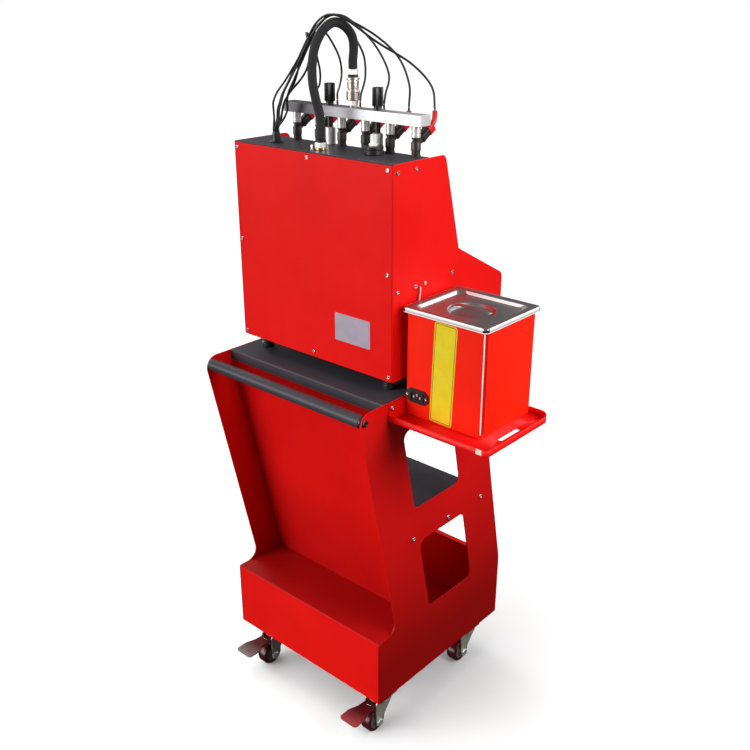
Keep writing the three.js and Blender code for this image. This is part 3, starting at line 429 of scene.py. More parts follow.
# %% Red and grey powder coat, and moulded black
def powder_coat(name, dark, light, gloss, coat):
    material = new_finish(name, light, gloss, Coat_Weight=coat, Coat_Roughness=0.2, Specular_IOR_Level=0.14)
    vary_colour(material, 6, dark, light)
    vary_roughness(material, 40, gloss - 0.03, gloss + 0.05)
    peel = noise(material, 700, 2.0)
    add_bump(material, peel.outputs[0], 0.16, 0.0003)
    return material


red_paint = powder_coat("red_powder_coat", (0.78, 0.005, 0.004), (0.86, 0.007, 0.005), 0.4, 0.02)
# The side and rear panels' paint, darkened towards the floor: painted shade.
sheet_paint_shaded_below = powder_coat("sheet_coat_painted_shade", (0.72, 0.005, 0.005), (0.8, 0.007, 0.006), 0.4, 0.02)
# A darker red for the step's ledge: painted shade.
shaded_paint = powder_coat("step_top_painted_shade", (0.4, 0.003, 0.003), (0.46, 0.004, 0.004), 0.5, 0.0)
# A darker red still for the tray's floor: painted shade.
tray_shade = powder_coat("tray_top_painted_shade", (0.23, 0.002, 0.002), (0.27, 0.0025, 0.0025), 0.55, 0.0)
bath_paint = powder_coat("bath_powder_coat", (0.93, 0.015, 0.003), (0.98, 0.019, 0.004), 0.42, 0.02)
grey_paint = powder_coat("grey_powder_coat", (0.05, 0.046, 0.056), (0.062, 0.058, 0.07), 0.42, 0.1)


def moulding(name, shade, gloss, grain=0.12):
    material = new_finish(name, (shade, shade, shade * 1.03), gloss, IOR=1.5)
    vary_roughness(material, 90, gloss - 0.05, gloss + 0.08)
    add_bump(material, noise(material, 1500, 2.0).outputs[0], grain, 0.0002)
    return material


black_plastic = moulding("black_moulding", 0.012, 0.36)
lead_rubber = moulding("black_rubber", 0.011, 0.42, 0.05)
knob_plastic = moulding("knob_moulding", 0.009, 0.3)
print("paints and mouldings:", [material.name for material in bpy.data.materials])

# %% [markdown]
# ### Painted shade on the large sheets
# Little light reaches the lower part of a tall, narrow object in a studio, so its large sheets look darker towards
# the floor. Lights alone would need flags and cutters. A slow fall of the base colour with height paints the shade.

# %% Painted shade on the large sheets
def darker_below(material, low, high, share):
    """Lets a base colour fall to a share of itself from one height to a lower one, in metres."""
    place = add_node(material, "ShaderNodeTexCoord").outputs["Object"]
    up = add_node(material, "ShaderNodeSeparateXYZ", {"Vector": place}).outputs[2]
    tone = add_node(material, "ShaderNodeMapRange",
                    {"Value": up, "From Min": low, "From Max": high, "To Min": share, "To Max": 1.0}).outputs[0]
    paint = socket_of(material, "Base Color").links[0].from_socket
    link_to(material, blend_colours(material, tone, (0.0, 0.0, 0.0), paint), "Base Color")


darker_below(sheet_paint_shaded_below, 0.18, 0.48, 0.5)
print("the sheets' paint falls to half its value from 0.48 m down to 0.18 m")

# %% [markdown]
# ### Bare metals
# Brushed metal is a noise squeezed along one axis: long fine streaks that make the gloss uneven. Plated and
# polished metal keeps a low roughness and only faint blotches, and shows what stands around it.

# %% Metals
def bare_metal(name, colour, low, high, stretch=(1, 1, 1), scale=60, bump=0.0):
    material = new_finish(name, colour, (low + high) / 2, 1.0)
    vary_roughness(material, scale, low, high, stretch)
    if bump:
        add_bump(material, noise(material, scale * 4, 2.0, stretch).outputs[0], bump, 0.0001)
    return material


rail_metal = bare_metal("brushed_aluminium_painted_reflection", (0.62, 0.61, 0.62), 0.4, 0.56, (0.04, 1, 1), 500, 0.5)
nickel = bare_metal("nickel_plating", (0.78, 0.69, 0.62), 0.24, 0.32, scale=20)
satin = bare_metal("satin_plating", (0.86, 0.85, 0.83), 0.3, 0.38, scale=20)
socket_of(satin, "Metallic").default_value = 0.7
zinc = bare_metal("zinc_plating", (0.42, 0.395, 0.35), 0.34, 0.46, scale=60, bump=0.1)
socket_of(zinc, "Metallic").default_value = 0.35
dark_zinc = bare_metal("dark_zinc_plating", (0.09, 0.1, 0.1), 0.34, 0.5, scale=120, bump=0.2)
steel = bare_metal("stainless_sheet", (0.36, 0.33, 0.335), 0.33, 0.37, (1, 0.08, 1), 120)
# Near white and barely metallic: the painted highlight on the lid, the tank's rim and the case's corner, and the
# return fitting's stem.
white_and_highlight = bare_metal("white_and_painted_highlight", (0.97, 0.97, 0.95), 0.35, 0.45, scale=200)
socket_of(white_and_highlight, "Metallic").default_value = 0.12
steel_inside = bare_metal("drawn_stainless", (0.6, 0.6, 0.6), 0.22, 0.34, (1, 1, 0.06), 300, 0.15)
screw_metal = bare_metal("bright_zinc", (0.72, 0.74, 0.74), 0.16, 0.28, scale=300)
brass = bare_metal("brass_ring", (0.75, 0.55, 0.3), 0.18, 0.3, scale=200)
print("metals end with", bpy.data.materials[-1].name)

# %% [markdown]
# ### The rail's painted reflection
# A brushed bar mirrors the room along its length: one end of the rail shows a white wall and the other a dark one.
# The room isn't modelled, so the bar's own colour runs from pale to dark along the x axis instead: a painted
# reflection.

# %% Painted reflection along the rail
along_rail = add_node(rail_metal, "ShaderNodeSeparateXYZ",
                      {"Vector": add_node(rail_metal, "ShaderNodeTexCoord").outputs["Object"]}).outputs[0]
rail_reflection_share = add_node(rail_metal, "ShaderNodeMapRange",
                      {"Value": along_rail, "From Min": 0.16, "From Max": -0.06}).outputs[0]
link_to(rail_metal, blend_colours(rail_metal, rail_reflection_share, (0.12, 0.112, 0.12), (0.86, 0.85, 0.86)), "Base Color")
print("nodes in the rail's finish:", len(rail_metal.node_tree.nodes))

# %% [markdown]
# ### Rubber, plastic and glass
# The red boots and the wheels' treads are soft plastics with a deep colour. Clear tubes need a thin wall and real
# refraction, so their shader transmits light.

# %% Other finishes
def soft_plastic(name, dark, light, gloss):
    material = new_finish(name, light, gloss, IOR=1.45)
    vary_colour(material, 60, dark, light)
    add_bump(material, noise(material, 900, 2.0).outputs[0], 0.1, 0.0002)
    return material


boot_plastic = soft_plastic("red_boot", (0.6, 0.008, 0.012), (0.72, 0.014, 0.02), 0.35)
injector_plastic = soft_plastic("injector_moulding", (0.022, 0.014, 0.014), (0.034, 0.022, 0.021), 0.38)
tread = soft_plastic("maroon_tread", (0.05, 0.004, 0.006), (0.085, 0.008, 0.011), 0.3)
hub_plastic = soft_plastic("grey_hub", (0.13, 0.12, 0.12), (0.18, 0.17, 0.17), 0.45)
milky = soft_plastic("milky_plastic", (0.72, 0.72, 0.66), (0.8, 0.8, 0.75), 0.4)
board_white = soft_plastic("white_board", (0.78, 0.78, 0.76), (0.84, 0.84, 0.82), 0.3)
label_yellow = soft_plastic("yellow_plate", (0.78, 0.6, 0.012), (0.84, 0.67, 0.02), 0.38)
label_silver = soft_plastic("silver_plate", (0.4, 0.34, 0.42), (0.46, 0.39, 0.47), 0.45)
tube_pink = soft_plastic("clear_pink_tube", (0.62, 0.32, 0.34), (0.75, 0.45, 0.46), 0.2)
pale_highlight = soft_plastic("pale_painted_highlight", (0.82, 0.75, 0.6), (0.88, 0.82, 0.68), 0.5)
frame_print = soft_plastic("olive_frame", (0.1, 0.075, 0.015), (0.13, 0.1, 0.02), 0.5)
pin_metal = new_finish("tinned_pin", (0.62, 0.6, 0.57), 0.4, 0.3)
corner_painted_shade = powder_coat("corner_painted_shade", (0.42, 0.004, 0.004), (0.46, 0.005, 0.005), 0.5, 0.0)
ink = moulding("printed_black", 0.02, 0.5)
membrane = moulding("dark_membrane", 0.03, 0.45)
display_glass = moulding("display_window", 0.01, 0.08, 0.0)
glass = new_finish("clear_tube", (0.93, 0.97, 0.97), 0.03, Transmission_Weight=0.95, IOR=1.45)
vary_roughness(glass, 30, 0.02, 0.06)
print("materials:", len(bpy.data.materials))

# %% [markdown]
# ## The supply hose and the injector leads
# The hose carries test fluid from the cabinet to the rail, in a woven sleeve. The threads could be modelled one by
# one, but at this size a pattern of two crossing waves is enough. It follows the sleeve's bends, so it reads the
# tube's own UV map and not Object coordinates.

# %% Woven sleeve
sleeve_cloth = new_finish("woven_sleeve", (0.03, 0.029, 0.034), 0.75, Sheen_Weight=0.08, Sheen_Roughness=0.5,
                          Specular_IOR_Level=0.3)


def braid(material, around, along):
    """Crossing threads: the product of two slanted waves on the piece's own UV map."""
    place = add_node(material, "ShaderNodeTexCoord").outputs["UV"]
    split = add_node(material, "ShaderNodeSeparateXYZ", {"Vector": place})
    u = add_node(material, "ShaderNodeMath", {0: split.outputs[0], 1: along}, operation="MULTIPLY").outputs[0]
    v = add_node(material, "ShaderNodeMath", {0: split.outputs[1], 1: around}, operation="MULTIPLY").outputs[0]
    waves = []
    for way in ("ADD", "SUBTRACT"):
        slant = add_node(material, "ShaderNodeMath", {0: u, 1: v}, operation=way).outputs[0]
        turns = add_node(material, "ShaderNodeMath", {0: slant, 1: math.pi}, operation="MULTIPLY").outputs[0]
        wave = add_node(material, "ShaderNodeMath", {0: turns}, operation="SINE").outputs[0]
        waves.append(add_node(material, "ShaderNodeMath", {0: wave}, operation="ABSOLUTE").outputs[0])
    return add_node(material, "ShaderNodeMath", {0: waves[0], 1: waves[1]}, operation="MULTIPLY").outputs[0]


threads = braid(sleeve_cloth, 26, 150)
link_to(sleeve_cloth, blend_colours(sleeve_cloth, threads, (0.006, 0.006, 0.007), (0.05, 0.047, 0.052)),
        "Base Color")
add_bump(sleeve_cloth, threads, 0.6, 0.0004)
print("nodes in the sleeve's finish:", len(sleeve_cloth.node_tree.nodes))

# %% [markdown]
# ### Their routes
# The six leads leave one gland as a bundle, follow the hose up, and fan out to the injectors' plugs. Their places
# were read along each cord, from its fixed end to its loose end, and a smooth line joins them.

# %% Routes of the hose and the leads
HOSE_RADIUS = 7.75
LEAD_RADIUS = 1.9
HOSE_ROUTE = [
    (-2, -74, 1164.8), (-2.2, -74.2, 1182), (-2, -73, 1205), (1, -67.6, 1229.5), (3, -63.4, 1254),
    (3.4, -62.6, 1278), (2, -65, 1302), (-1, -71, 1322), (-6.5, -82.5, 1340.6), (-14.5, -98.5, 1350.6),
    (-23, -115, 1343.8), (-28.6, -126, 1328), (-29, -129, 1309), (-28, -128, 1292), (-28, -128, 1277.8),
]
LEAD_ROUTES = [
    [(115.3, -85.8, 1166.6), (114.9, -85.8, 1173.1), (110, -88.2, 1187.1), (106.6, -89, 1202.8),
     (100.7, -88.8, 1216.9), (89.1, -92.8, 1234.3), (70.1, -99.5, 1255), (60.6, -105.6, 1271.6),
     (50.8, -104.3, 1290.1), (47, -113, 1308), (62, -135, 1288), (84, -163, 1263), (103, -180, 1240),
     (110.5, -177, 1228), (110.5, -176, 1217.7)],
    [(119.7, -85.8, 1166.6), (119.3, -85.8, 1173.1), (114.4, -90.7, 1186.5), (110, -92.7, 1202.2),
     (104.3, -92.2, 1216.4), (93.6, -95.4, 1233.8), (79.6, -97, 1254.6), (59.8, -92.8, 1290.3),
     (35.8, -95.8, 1327.2), (29, -118, 1334), (45, -157, 1312), (66, -195, 1285), (74, -208, 1259),
     (67, -195, 1239), (56.5, -178, 1228), (55.1, -176, 1217.7)],
    [(113.1, -82, 1166.6), (112.7, -82, 1173.1), (103.3, -88, 1187.7), (96.9, -92, 1203.3),
     (93.6, -89, 1217.4), (87.4, -87.4, 1234.8), (74.2, -88.2, 1255.5), (54.4, -89, 1286.5),
     (30.3, -92, 1323.6), (17, -106, 1341), (-5, -129, 1342), (-1, -160, 1326), (1, -187, 1294),
     (2, -192, 1258), (0, -179, 1231), (-0.3, -176, 1217.7)],
    [(121.9, -82, 1166.6), (121.5, -82, 1173.1), (116.6, -84.7, 1186.9), (114.2, -84.6, 1202.6),
     (107.9, -84.7, 1216.7), (99.5, -85.5, 1234.1), (85.3, -87.4, 1254.9), (61.6, -89, 1291.5),
     (37.7, -92, 1328.4), (15, -101, 1352), (-7, -105, 1361.4), (-27, -121, 1354.8), (-47, -160, 1316),
     (-59, -184, 1268), (-57, -178, 1234), (-55.7, -176, 1217.7)],
    [(115.3, -78.2, 1166.6), (114.9, -78.2, 1173.1), (109.8, -81.8, 1187.8), (107.2, -81.9, 1203.4),
     (101.1, -81.8, 1217.5), (93.4, -81.9, 1234.8), (79.6, -83.4, 1255.6), (56.2, -85.2, 1287.7),
     (32.2, -88.2, 1324.8), (12, -94, 1349), (-10, -98.5, 1362.2), (-36, -112, 1353.5), (-70, -141, 1329),
     (-97, -165, 1296), (-111, -176, 1254), (-111.1, -176, 1217.7)],
    [(119.7, -78.2, 1166.6), (119.3, -78.2, 1173.1), (117.3, -78.2, 1187.5), (116, -76.7, 1203.2),
     (112.7, -73.7, 1217.3), (103.5, -75.4, 1234.7), (86.7, -80.2, 1255.3), (59.8, -85.2, 1290.3),
     (35.8, -88.2, 1327.2), (14, -88, 1351), (-10, -92, 1362.2), (-37, -105, 1354), (-80, -130, 1321),
     (-130, -157, 1289), (-160, -174, 1254), (-166.5, -176, 1217.7)],
]
print("leads:", len(LEAD_ROUTES))

# %% [markdown]
# ### The cords
# A cord is swept along its one smooth line, so its length is true: it is the sum of the line's short steps.

# %% Hose and leads
def free_cord(name, route, radius, material):
    """A cord along a smooth line through its route."""
    line = smooth_line(route)
    piece = finish_piece(name + "_run", swept(line, radius, 12), material, replaces=name, edge=0)
    return piece


free_cord("supply_hose", HOSE_ROUTE, HOSE_RADIUS, sleeve_cloth)
for number, route in enumerate(LEAD_ROUTES, 1):
    free_cord(f"injector_lead_{number}", route, LEAD_RADIUS, lead_rubber)

# %% [markdown]
# ## Screws
# Pan-head screws hold the sheets together. The head is a low disc with a hexagon or a cross sunk in it. A plate
# with a hole of that shape, set on a solid disc, gives the socket without any cutting.

# %% Screw heads
QUARTER = math.pi / 2
WAYS = {"+x": Euler((0, QUARTER, 0)), "-x": Euler((0, -QUARTER, 0)), "+y": Euler((-QUARTER, 0, 0))}


def facing(x, y, z, way):
    """The matrix that sets a form's z axis on a place, along one of the ways."""
    return Matrix.Translation((x, y, z)) @ WAYS[way].to_matrix().to_4x4()


def hexagon_corners(radius):
    return [(radius * math.cos(math.pi / 3 * i), radius * math.sin(math.pi / 3 * i)) for i in range(6)]


def cross_hole(radius):
    slim = radius * 0.3
    arm = [(radius, -slim), (radius, slim), (slim, slim)]
    turns = [Matrix.Rotation(math.pi / 2 * i, 2) for i in range(4)]
    return [tuple(turned_by @ Vector(point)) for turned_by in turns for point in arm]


def screw(radius, height, hole):
    """A screw head that stands on z = 0."""
    rim = rectangle(-radius, -radius, radius, radius, radius * 0.98)
    return gather(plate(rim, "z", 0, height * 0.5), plate(rim, "z", height * 0.45, height, [hole]))


def screws(name, radius, height, hole, places, material, body="frame"):
    form = copies(screw(radius, height, hole), [facing(*place) for place in places])
    return finish_piece(name, form, material, body, edge=radius * 0.16, segments=2)


print("ways a screw can face:", list(WAYS))

# %% [markdown]
# ## The trolley
# Two cut side panels carry everything: the base, the leaning rear panel, the middle shelf, the deck and the push
# handle. They are plain laser-cut plates, so each is one outline with two windows, pulled to 2 mm.

# %% Side panels
WINDOW_REAR, WINDOW_FRONT = 102, 242


def lean_window(low, high):
    """A window whose upright edges lean as the panel does."""
    return [(lean_at(height) - out, height, 16) for height, out in
            ((low, WINDOW_REAR), (high, WINDOW_REAR), (high, WINDOW_FRONT), (low, WINDOW_FRONT))]


SIDE = [(0, FLOOR_Z), (0, BASE_TOP, 3), (lean_at(BASE_TOP), BASE_TOP, 24), (lean_at(DECK_Z), DECK_Z, 25),
        (lean_at(DECK_Z) - SIDE_DEPTH, DECK_Z, 3), (lean_at(BASE_TOP) - SIDE_DEPTH, BASE_TOP, 3), (-397.2, FLOOR_Z)]
WINDOWS = [lean_window(FLOOR_Z + 148, FLOOR_Z + 318), lean_window(FLOOR_Z + 396, FLOOR_Z + 568)]
HANDLE = (37, FLOOR_Z + 624)
SHELF_SCREWS = [(y, FLOOR_Z + 331.2) for y in (-99.2, -206.4, -314.4)]


def screw_hole(y, z, radius):
    return rectangle(y - radius, z - radius, y + radius, z + radius, radius * 0.98)


SUNK = [screw_hole(*HANDLE, 6.7), *[screw_hole(*place, 4.8) for place in SHELF_SCREWS]]
for name, low, holes in (("right", HALF - SHEET, SUNK), ("left", -HALF, [])):
    finish_piece(f"side_{name}", plate(SIDE, "x", low, low + SHEET, [*WINDOWS, *holes], 12), sheet_paint_shaded_below,
                 replaces=f"side_panel_{name}", edge=0.6)

# %% [markdown]
# ### Folded sheets
# The rear step, the deck and the shelf are folded: a press brake leaves a small radius at each bend. Their section
# is drawn across the bends and pulled along them, so the radius is a rounded corner of the section. The step's
# ledge lies in the shade of the panel above it, so its upward faces wear a darker red: painted shade.

# %% Rear step and rear panel
def shade_upward_faces(piece, material, limit=0.8):
    """Gives the faces that look up a second, darker material: painted shade."""
    piece.data.materials.append(material)
    for face in piece.data.polygons:
        if face.normal.z > limit:
            face.material_index = 1


CLOSE = 0.28  # how far a sheet reaches towards the side panel beyond its CAD end


def folded(name, section, ends, material, replaces, extra=(), edge=0.4):
    """A sheet folded along x: its section is pulled from one end to the other."""
    form = gather(plate(section, "x", -ends - CLOSE, ends + CLOSE, segments=6), *extra)
    return finish_piece(name, form, material, replaces=replaces, edge=edge)


PANEL_INSET = 63.4  # how far in from the side panels' leaning edge the rear panel stands
ledge_end = lean_at(BASE_TOP) - PANEL_INSET - SHEET - SEAT
step = folded("rear_step_sheet", [
    (-2.3, FLOOR_Z), (-0.3, FLOOR_Z), (-0.3, BASE_TOP, 2.4), (ledge_end, BASE_TOP),
    (ledge_end, BASE_TOP - SHEET), (-2.3, BASE_TOP - SHEET, 2),
], INNER, red_paint, "rear_step")
shade_upward_faces(step, shaded_paint, 0.25)
panel_low, panel_high = BASE_TOP + SEAT, FLOOR_Z + 622
folded("rear_panel_sheet", [
    (lean_at(panel_low) - PANEL_INSET, panel_low), (lean_at(panel_high) - PANEL_INSET, panel_high),
    (lean_at(panel_high) - PANEL_INSET - SHEET, panel_high), (lean_at(panel_low) - PANEL_INSET - SHEET, panel_low),
], INNER, sheet_paint_shaded_below, "rear_panel")

# %% [markdown]
# ### Deck and shelf
# Both are shallow trays turned upside down: a flat top with lips folded down on all sides, which stiffen it. Front
# and rear lip belong to the section, and the side lips are two plain blocks.

# %% Deck and shelf
def folded_deck(rear, front, top, rear_lip, front_lip, side_lip, thick):
    """The section of a shelf with its folded lips, and its two side flanges."""
    section = [(rear, top - thick), (rear, top), (front, top, 2.4), (front, top - front_lip),
               (front + thick, top - front_lip), (front + thick, top - thick, 1)]
    if rear_lip:
        section = [(rear - thick, top - rear_lip), (rear, top - rear_lip), (rear, top, 2.4), *section[2:],
                   (rear - thick, top - thick, 1)]
    inner = INNER - SEAT
    flanges = [box((side * inner - (thick if side > 0 else 0), front + 5, top - side_lip),
                   (side * inner + (0 if side > 0 else thick), rear - 5, top - thick)) for side in (-1, 1)]
    return section, flanges


section, flanges = folded_deck(-12, lean_at(DECK_Z) - 342.2, DECK_Z, 19.5, 19.5, 19.5, 1.5)
folded("deck_sheet", section, INNER - SEAT, grey_paint, "trolley_top", flanges)
shelf_z = FLOOR_Z + 340
section, flanges = folded_deck(lean_at(shelf_z) - PANEL_INSET - 4, lean_at(shelf_z) - 327.2, shelf_z, 0, 18, 18, 2)
folded("shelf_sheet", section, INNER - SEAT, grey_paint, "middle_shelf", flanges)

# %% [markdown]
# ## The push handle
# A painted steel tube between the side panels. Each end has a plug with a threaded hole, and a black button-head
# screw from outside draws the panel against it. The right panel's screws are sunk flush with its face.

# %% Push handle and the trolley's screws
handle = gather(
    (shift(rod(11.5, -INNER + 4, INNER - 4, "x", 64), 0, *HANDLE), 0),
    *[(shift(rod(10.6, *sorted((side * INNER, side * (INNER - 5))), "x", 64), 0, *HANDLE), 1) for side in (-1, 1)],
)
finish_piece("push_handle_tube", handle, [grey_paint, black_plastic], replaces="push_handle",
             edge=0.8)
screws("handle_screws", 6.2, 3.4, hexagon_corners(2.3),
       [(-HALF, *HANDLE, "-x"), (HALF - 3.45, *HANDLE, "+x")], dark_zinc)
screws("shelf_screws", 4.4, 2.6, hexagon_corners(1.7),
       [(-HALF, *place, "-x") for place in SHELF_SCREWS] + [(HALF - 2.65, *place, "+x") for place in SHELF_SCREWS],
       screw_metal)

# %% [markdown]
# ## The base
# The floor pan, the caster channels under it and the fixed half of each caster are one CAD piece. Its shape is
# right, so it stays. Its paint ends at the channels: what lies lower is plated, so the finish changes with height.

# %% Paint above and plating below
base_finish = powder_coat("base_coat", (0.72, 0.005, 0.005), (0.8, 0.007, 0.006), 0.4, 0.02)
height = add_node(base_finish, "ShaderNodeSeparateXYZ",
                  {"Vector": add_node(base_finish, "ShaderNodeTexCoord").outputs["Object"]}).outputs[2]
PAINT_END = 0.0795
painted = add_node(base_finish, "ShaderNodeMath", {0: height, 1: PAINT_END}, operation="GREATER_THAN").outputs[0]
paint = socket_of(base_finish, "Base Color").links[0].from_socket
link_to(base_finish, blend_colours(base_finish, painted, (0.09, 0.1, 0.1), paint), "Base Color")
plated = add_node(base_finish, "ShaderNodeMath", {0: 1.0, 1: painted}, operation="SUBTRACT").outputs[0]
link_to(base_finish, plated, "Metallic")


def dress(node, material):
    """Gives a CAD node that keeps its shape its finish."""
    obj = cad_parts[node]
    if not obj.material_slots:
        obj.data.materials.append(material)
    for entry in obj.material_slots:
        entry.material = material
    print(node, "keeps its CAD shape")


dress("floor_pan", base_finish)

# %% [markdown]
# ## Open sheets
# A pressed or folded sheet whose walls turn corners is drawn best as one open surface: a loop of edges is pulled on
# and on, each pull a new wall, and a Solidify modifier gives the sheet its thickness at the end. The tray and the
# lid are made so.

# %% Helpers for open sheets
def edge_loop(form, corners, height, segments=8):
    """A closed loop of edges at a height."""
    old = set(form.edges), set(form.faces), set(form.verts)
    rounded_face(form, corners, segments)
    bmesh.ops.delete(form, geom=[face for face in form.faces if face not in old[1]], context="FACES_ONLY")
    bmesh.ops.translate(form, verts=[v for v in form.verts if v not in old[2]], vec=(0, 0, height))
    return [edge for edge in form.edges if edge not in old[0]]


def pull(form, edges, down=0.0, scale=(1, 1)):
    """Pulls a loop of edges down and towards the middle, and returns the new loop."""
    made = bmesh.ops.extrude_edge_only(form, edges=edges)["geom"]
    points = [v for v in made if isinstance(v, bmesh.types.BMVert)]
    bmesh.ops.scale(form, verts=points, vec=(*scale, 1))
    bmesh.ops.translate(form, verts=points, vec=(0, 0, -down))
    return [edge for edge in made if isinstance(edge, bmesh.types.BMEdge)]


def thicken(piece, thickness):
    """Gives an open sheet its thickness, inwards."""
    wall = piece.modifiers.new("wall", "SOLIDIFY")
    wall.thickness = thickness / 1000
    wall.offset = -1
    return piece


sample = bmesh.new()
print("a pulled loop of four edges has", len(pull(sample, edge_loop(sample, rectangle(0, 0, 9, 9), 0), 3)), "edges")
sample.free()

# %% [markdown]
# ## The side tray
# A folded tray hangs on the side panel under the bath. Its floor is one outline with a long slot. The rim is pulled
# up from the floor's edge, and the bend between them is rounded, as a press brake leaves it. At its near corner the
# two rims don't quite meet; the gap isn't cut, and a pale patch on the rim paints its brightness as a highlight.
# The tray's upward faces wear a darker red: painted shade.

# %% Tray
TRAY_IN, TRAY_OUT, TRAY_REAR, TRAY_FRONT, TRAY_Z = -200.3, -408, -21, -213.6, 715.4
TRAY_SHEET, TRAY_RIM, TRAY_BEND = 1.6, 12.4, 1.2
tray = bmesh.new()
slot_out, slot_rear = TRAY_IN - 182, TRAY_REAR - 65
tray_rim = edge_loop(tray, [(TRAY_IN, TRAY_REAR, 3), (TRAY_IN, TRAY_FRONT, 3), (TRAY_OUT, TRAY_FRONT, 24),
                            (TRAY_OUT, TRAY_REAR, 8)], TRAY_Z, 12)
edge_loop(tray, rectangle(slot_out - 9, slot_rear - 57, slot_out, slot_rear, 4.4), TRAY_Z)
bmesh.ops.triangle_fill(tray, edges=tray.edges[:], use_beauty=True)
pull(tray, tray_rim, -TRAY_RIM)
bmesh.ops.bevel(tray, geom=tray_rim, offset=TRAY_BEND, segments=4, profile=0.5, affect="EDGES", material=-1)
bmesh.ops.recalc_face_normals(tray, faces=tray.faces)
if sum(face.normal.z * face.calc_area() for face in tray.faces) > 0:
    bmesh.ops.reverse_faces(tray, faces=tray.faces)
tray_piece = finish_piece("tray_sheet", tray, red_paint, replaces="bath_tray", edge=0)
# The tray's upward faces wear the darker red: painted shade.
shade_upward_faces(tray_piece, tray_shade)
thicken(tray_piece, TRAY_SHEET)
# A pale patch on the rim's corner: a painted highlight.
tray_pale_patch = box((TRAY_OUT + 11, TRAY_REAR - 0.4, TRAY_Z + 2), (TRAY_OUT + 22, TRAY_REAR + 0.15, TRAY_Z + 11.5))
finish_piece("tray_pale_patch", tray_pale_patch, pale_highlight, edge=0)
flange = box((TRAY_IN - TRAY_SHEET, TRAY_FRONT + 3, TRAY_Z + 1), (TRAY_IN, TRAY_REAR - 3, TRAY_Z + 30.6))
finish_piece("tray_flange", flange, red_paint)
screws("tray_screws", 4.4, 2.6, hexagon_corners(1.7),
       [(TRAY_IN - TRAY_SHEET, y, TRAY_Z + 22, "-x") for y in (-32, -200)], screw_metal)

# %% [markdown]
# ## The ultrasonic bath
# A red case folded from thin sheet, with the drawn steel tank hanging in it by its rim. All of it is drawn about
# the bath's own upright centre line, and shifted to its place on the tray. The case's rounded near corner gets a
# painted highlight, a bright line, beside a painted shadow, a darker strip: two slim pieces of their own. The
# tank's rim wears a near-white material: a painted highlight.

# %% Bath case and tank
BATH = (-283.7, -139)
BATH_Z = 717
CASE_TOP = 904.2
RIM_Z = 906


def tile(width, depth, low, high, radius, hole=None):
    """A plate round the bath's centre line, with a hole (width, depth, radius) in its middle."""
    holes = [rectangle(-hole[0] / 2, -hole[1] / 2, hole[0] / 2, hole[1] / 2, hole[2])] if hole else ()
    outline = rectangle(-width / 2, -depth / 2, width / 2, depth / 2, radius)
    return shift(plate(outline, "z", low, high, holes), *BATH)


case = gather(
    tile(160, 146, BATH_Z + SEAT, CASE_TOP, 4, (156, 142, 3)),
    tile(157, 143, BATH_Z + SEAT, BATH_Z + 2, 3),
)
# Painted shadow, a dark strip, and painted highlight, a white line, on the case's rounded corner.
corner_light = gather((box((-363.8, -74, BATH_Z + 9), (-363.6, -69, CASE_TOP), 0), 0),
              (swept([(-362.5, -65.7, BATH_Z + 9), (-362.5, -65.7, CASE_TOP)], 1.0, 10), 1))
finish_piece("bath_case_corner_light", corner_light, [corner_painted_shade, white_and_highlight], edge=0)
finish_piece("bath_case_sheet", case, bath_paint, replaces="bath_case", edge=0.5)
tank = gather(
    # The tank's rim, material 0, is near white: a painted highlight.
    (tile(173, 159, CASE_TOP + SEAT, RIM_Z, 8, (142, 128, 10)), 0),
    (tile(145, 131, CASE_TOP - 95, CASE_TOP + 1, 11, (142, 128, 10)), 1),
    (tile(143, 129, CASE_TOP - 95, CASE_TOP - 93.5, 10), 1),
)
finish_piece("bath_tank_shell", tank, [white_and_highlight, steel_inside], replaces="bath_tank", edge=0.5)

# %% [markdown]
# ### The lid
# The lid is pressed from stainless sheet: a flat border turned down at its edge, a sunk panel with soft sloping
# walls, and a round finger cup with a strap across it. It is built as loops of edges, each pulled from the last,
# and the open sheet gets its thickness from a Solidify modifier.

# %% Lid
LID_Z = 912.5
CUP_RADIUS = 37
LID_SHEET, LID_SKIRT = 0.9, 6.4
lid = bmesh.new()
lid_edge = edge_loop(lid, rectangle(-86.5, -79.5, 86.5, 79.5, 8), 0)
panel_top = edge_loop(lid, rectangle(-74, -67, 74, 67, 16), 0)
bmesh.ops.triangle_fill(lid, edges=[*lid_edge, *panel_top], use_beauty=True)
panel_low = pull(lid, panel_top, 6, (132 / 148, 118 / 134))
cup = bmesh.ops.create_circle(lid, segments=72, radius=CUP_RADIUS + 4)["verts"]
bmesh.ops.translate(lid, verts=cup, vec=(0, 0, -6))
cup_top = list({edge for v in cup for edge in v.link_edges})
bmesh.ops.triangle_fill(lid, edges=[*panel_low, *cup_top], use_beauty=True)
cup_low = pull(lid, cup_top, 8.5, (0.86, 0.86))
bmesh.ops.contextual_create(lid, geom=cup_low)
pull(lid, lid_edge, LID_SKIRT)
bmesh.ops.recalc_face_normals(lid, faces=lid.faces)
if sum(face.normal.z * face.calc_area() for face in lid.faces) < 0:
    bmesh.ops.reverse_faces(lid, faces=lid.faces)
bmesh.ops.bevel(lid, geom=[*panel_top, *panel_low, *cup_top, *cup_low], offset=2.2, segments=4, profile=0.5,
                affect="EDGES", material=-1)
bmesh.ops.bevel(lid, geom=lid_edge, offset=1.6, segments=3, profile=0.5, affect="EDGES", material=-1)
lid.normal_update()

# %% [markdown]
# ### The lid's finish and strap
# A mirror-like sheet is dark where it mirrors the room and white where it catches a lamp. Its turned-down edge and
# two of the sunk panel's walls wear a near-white material for it: a painted highlight. The strap is a flattened bar.

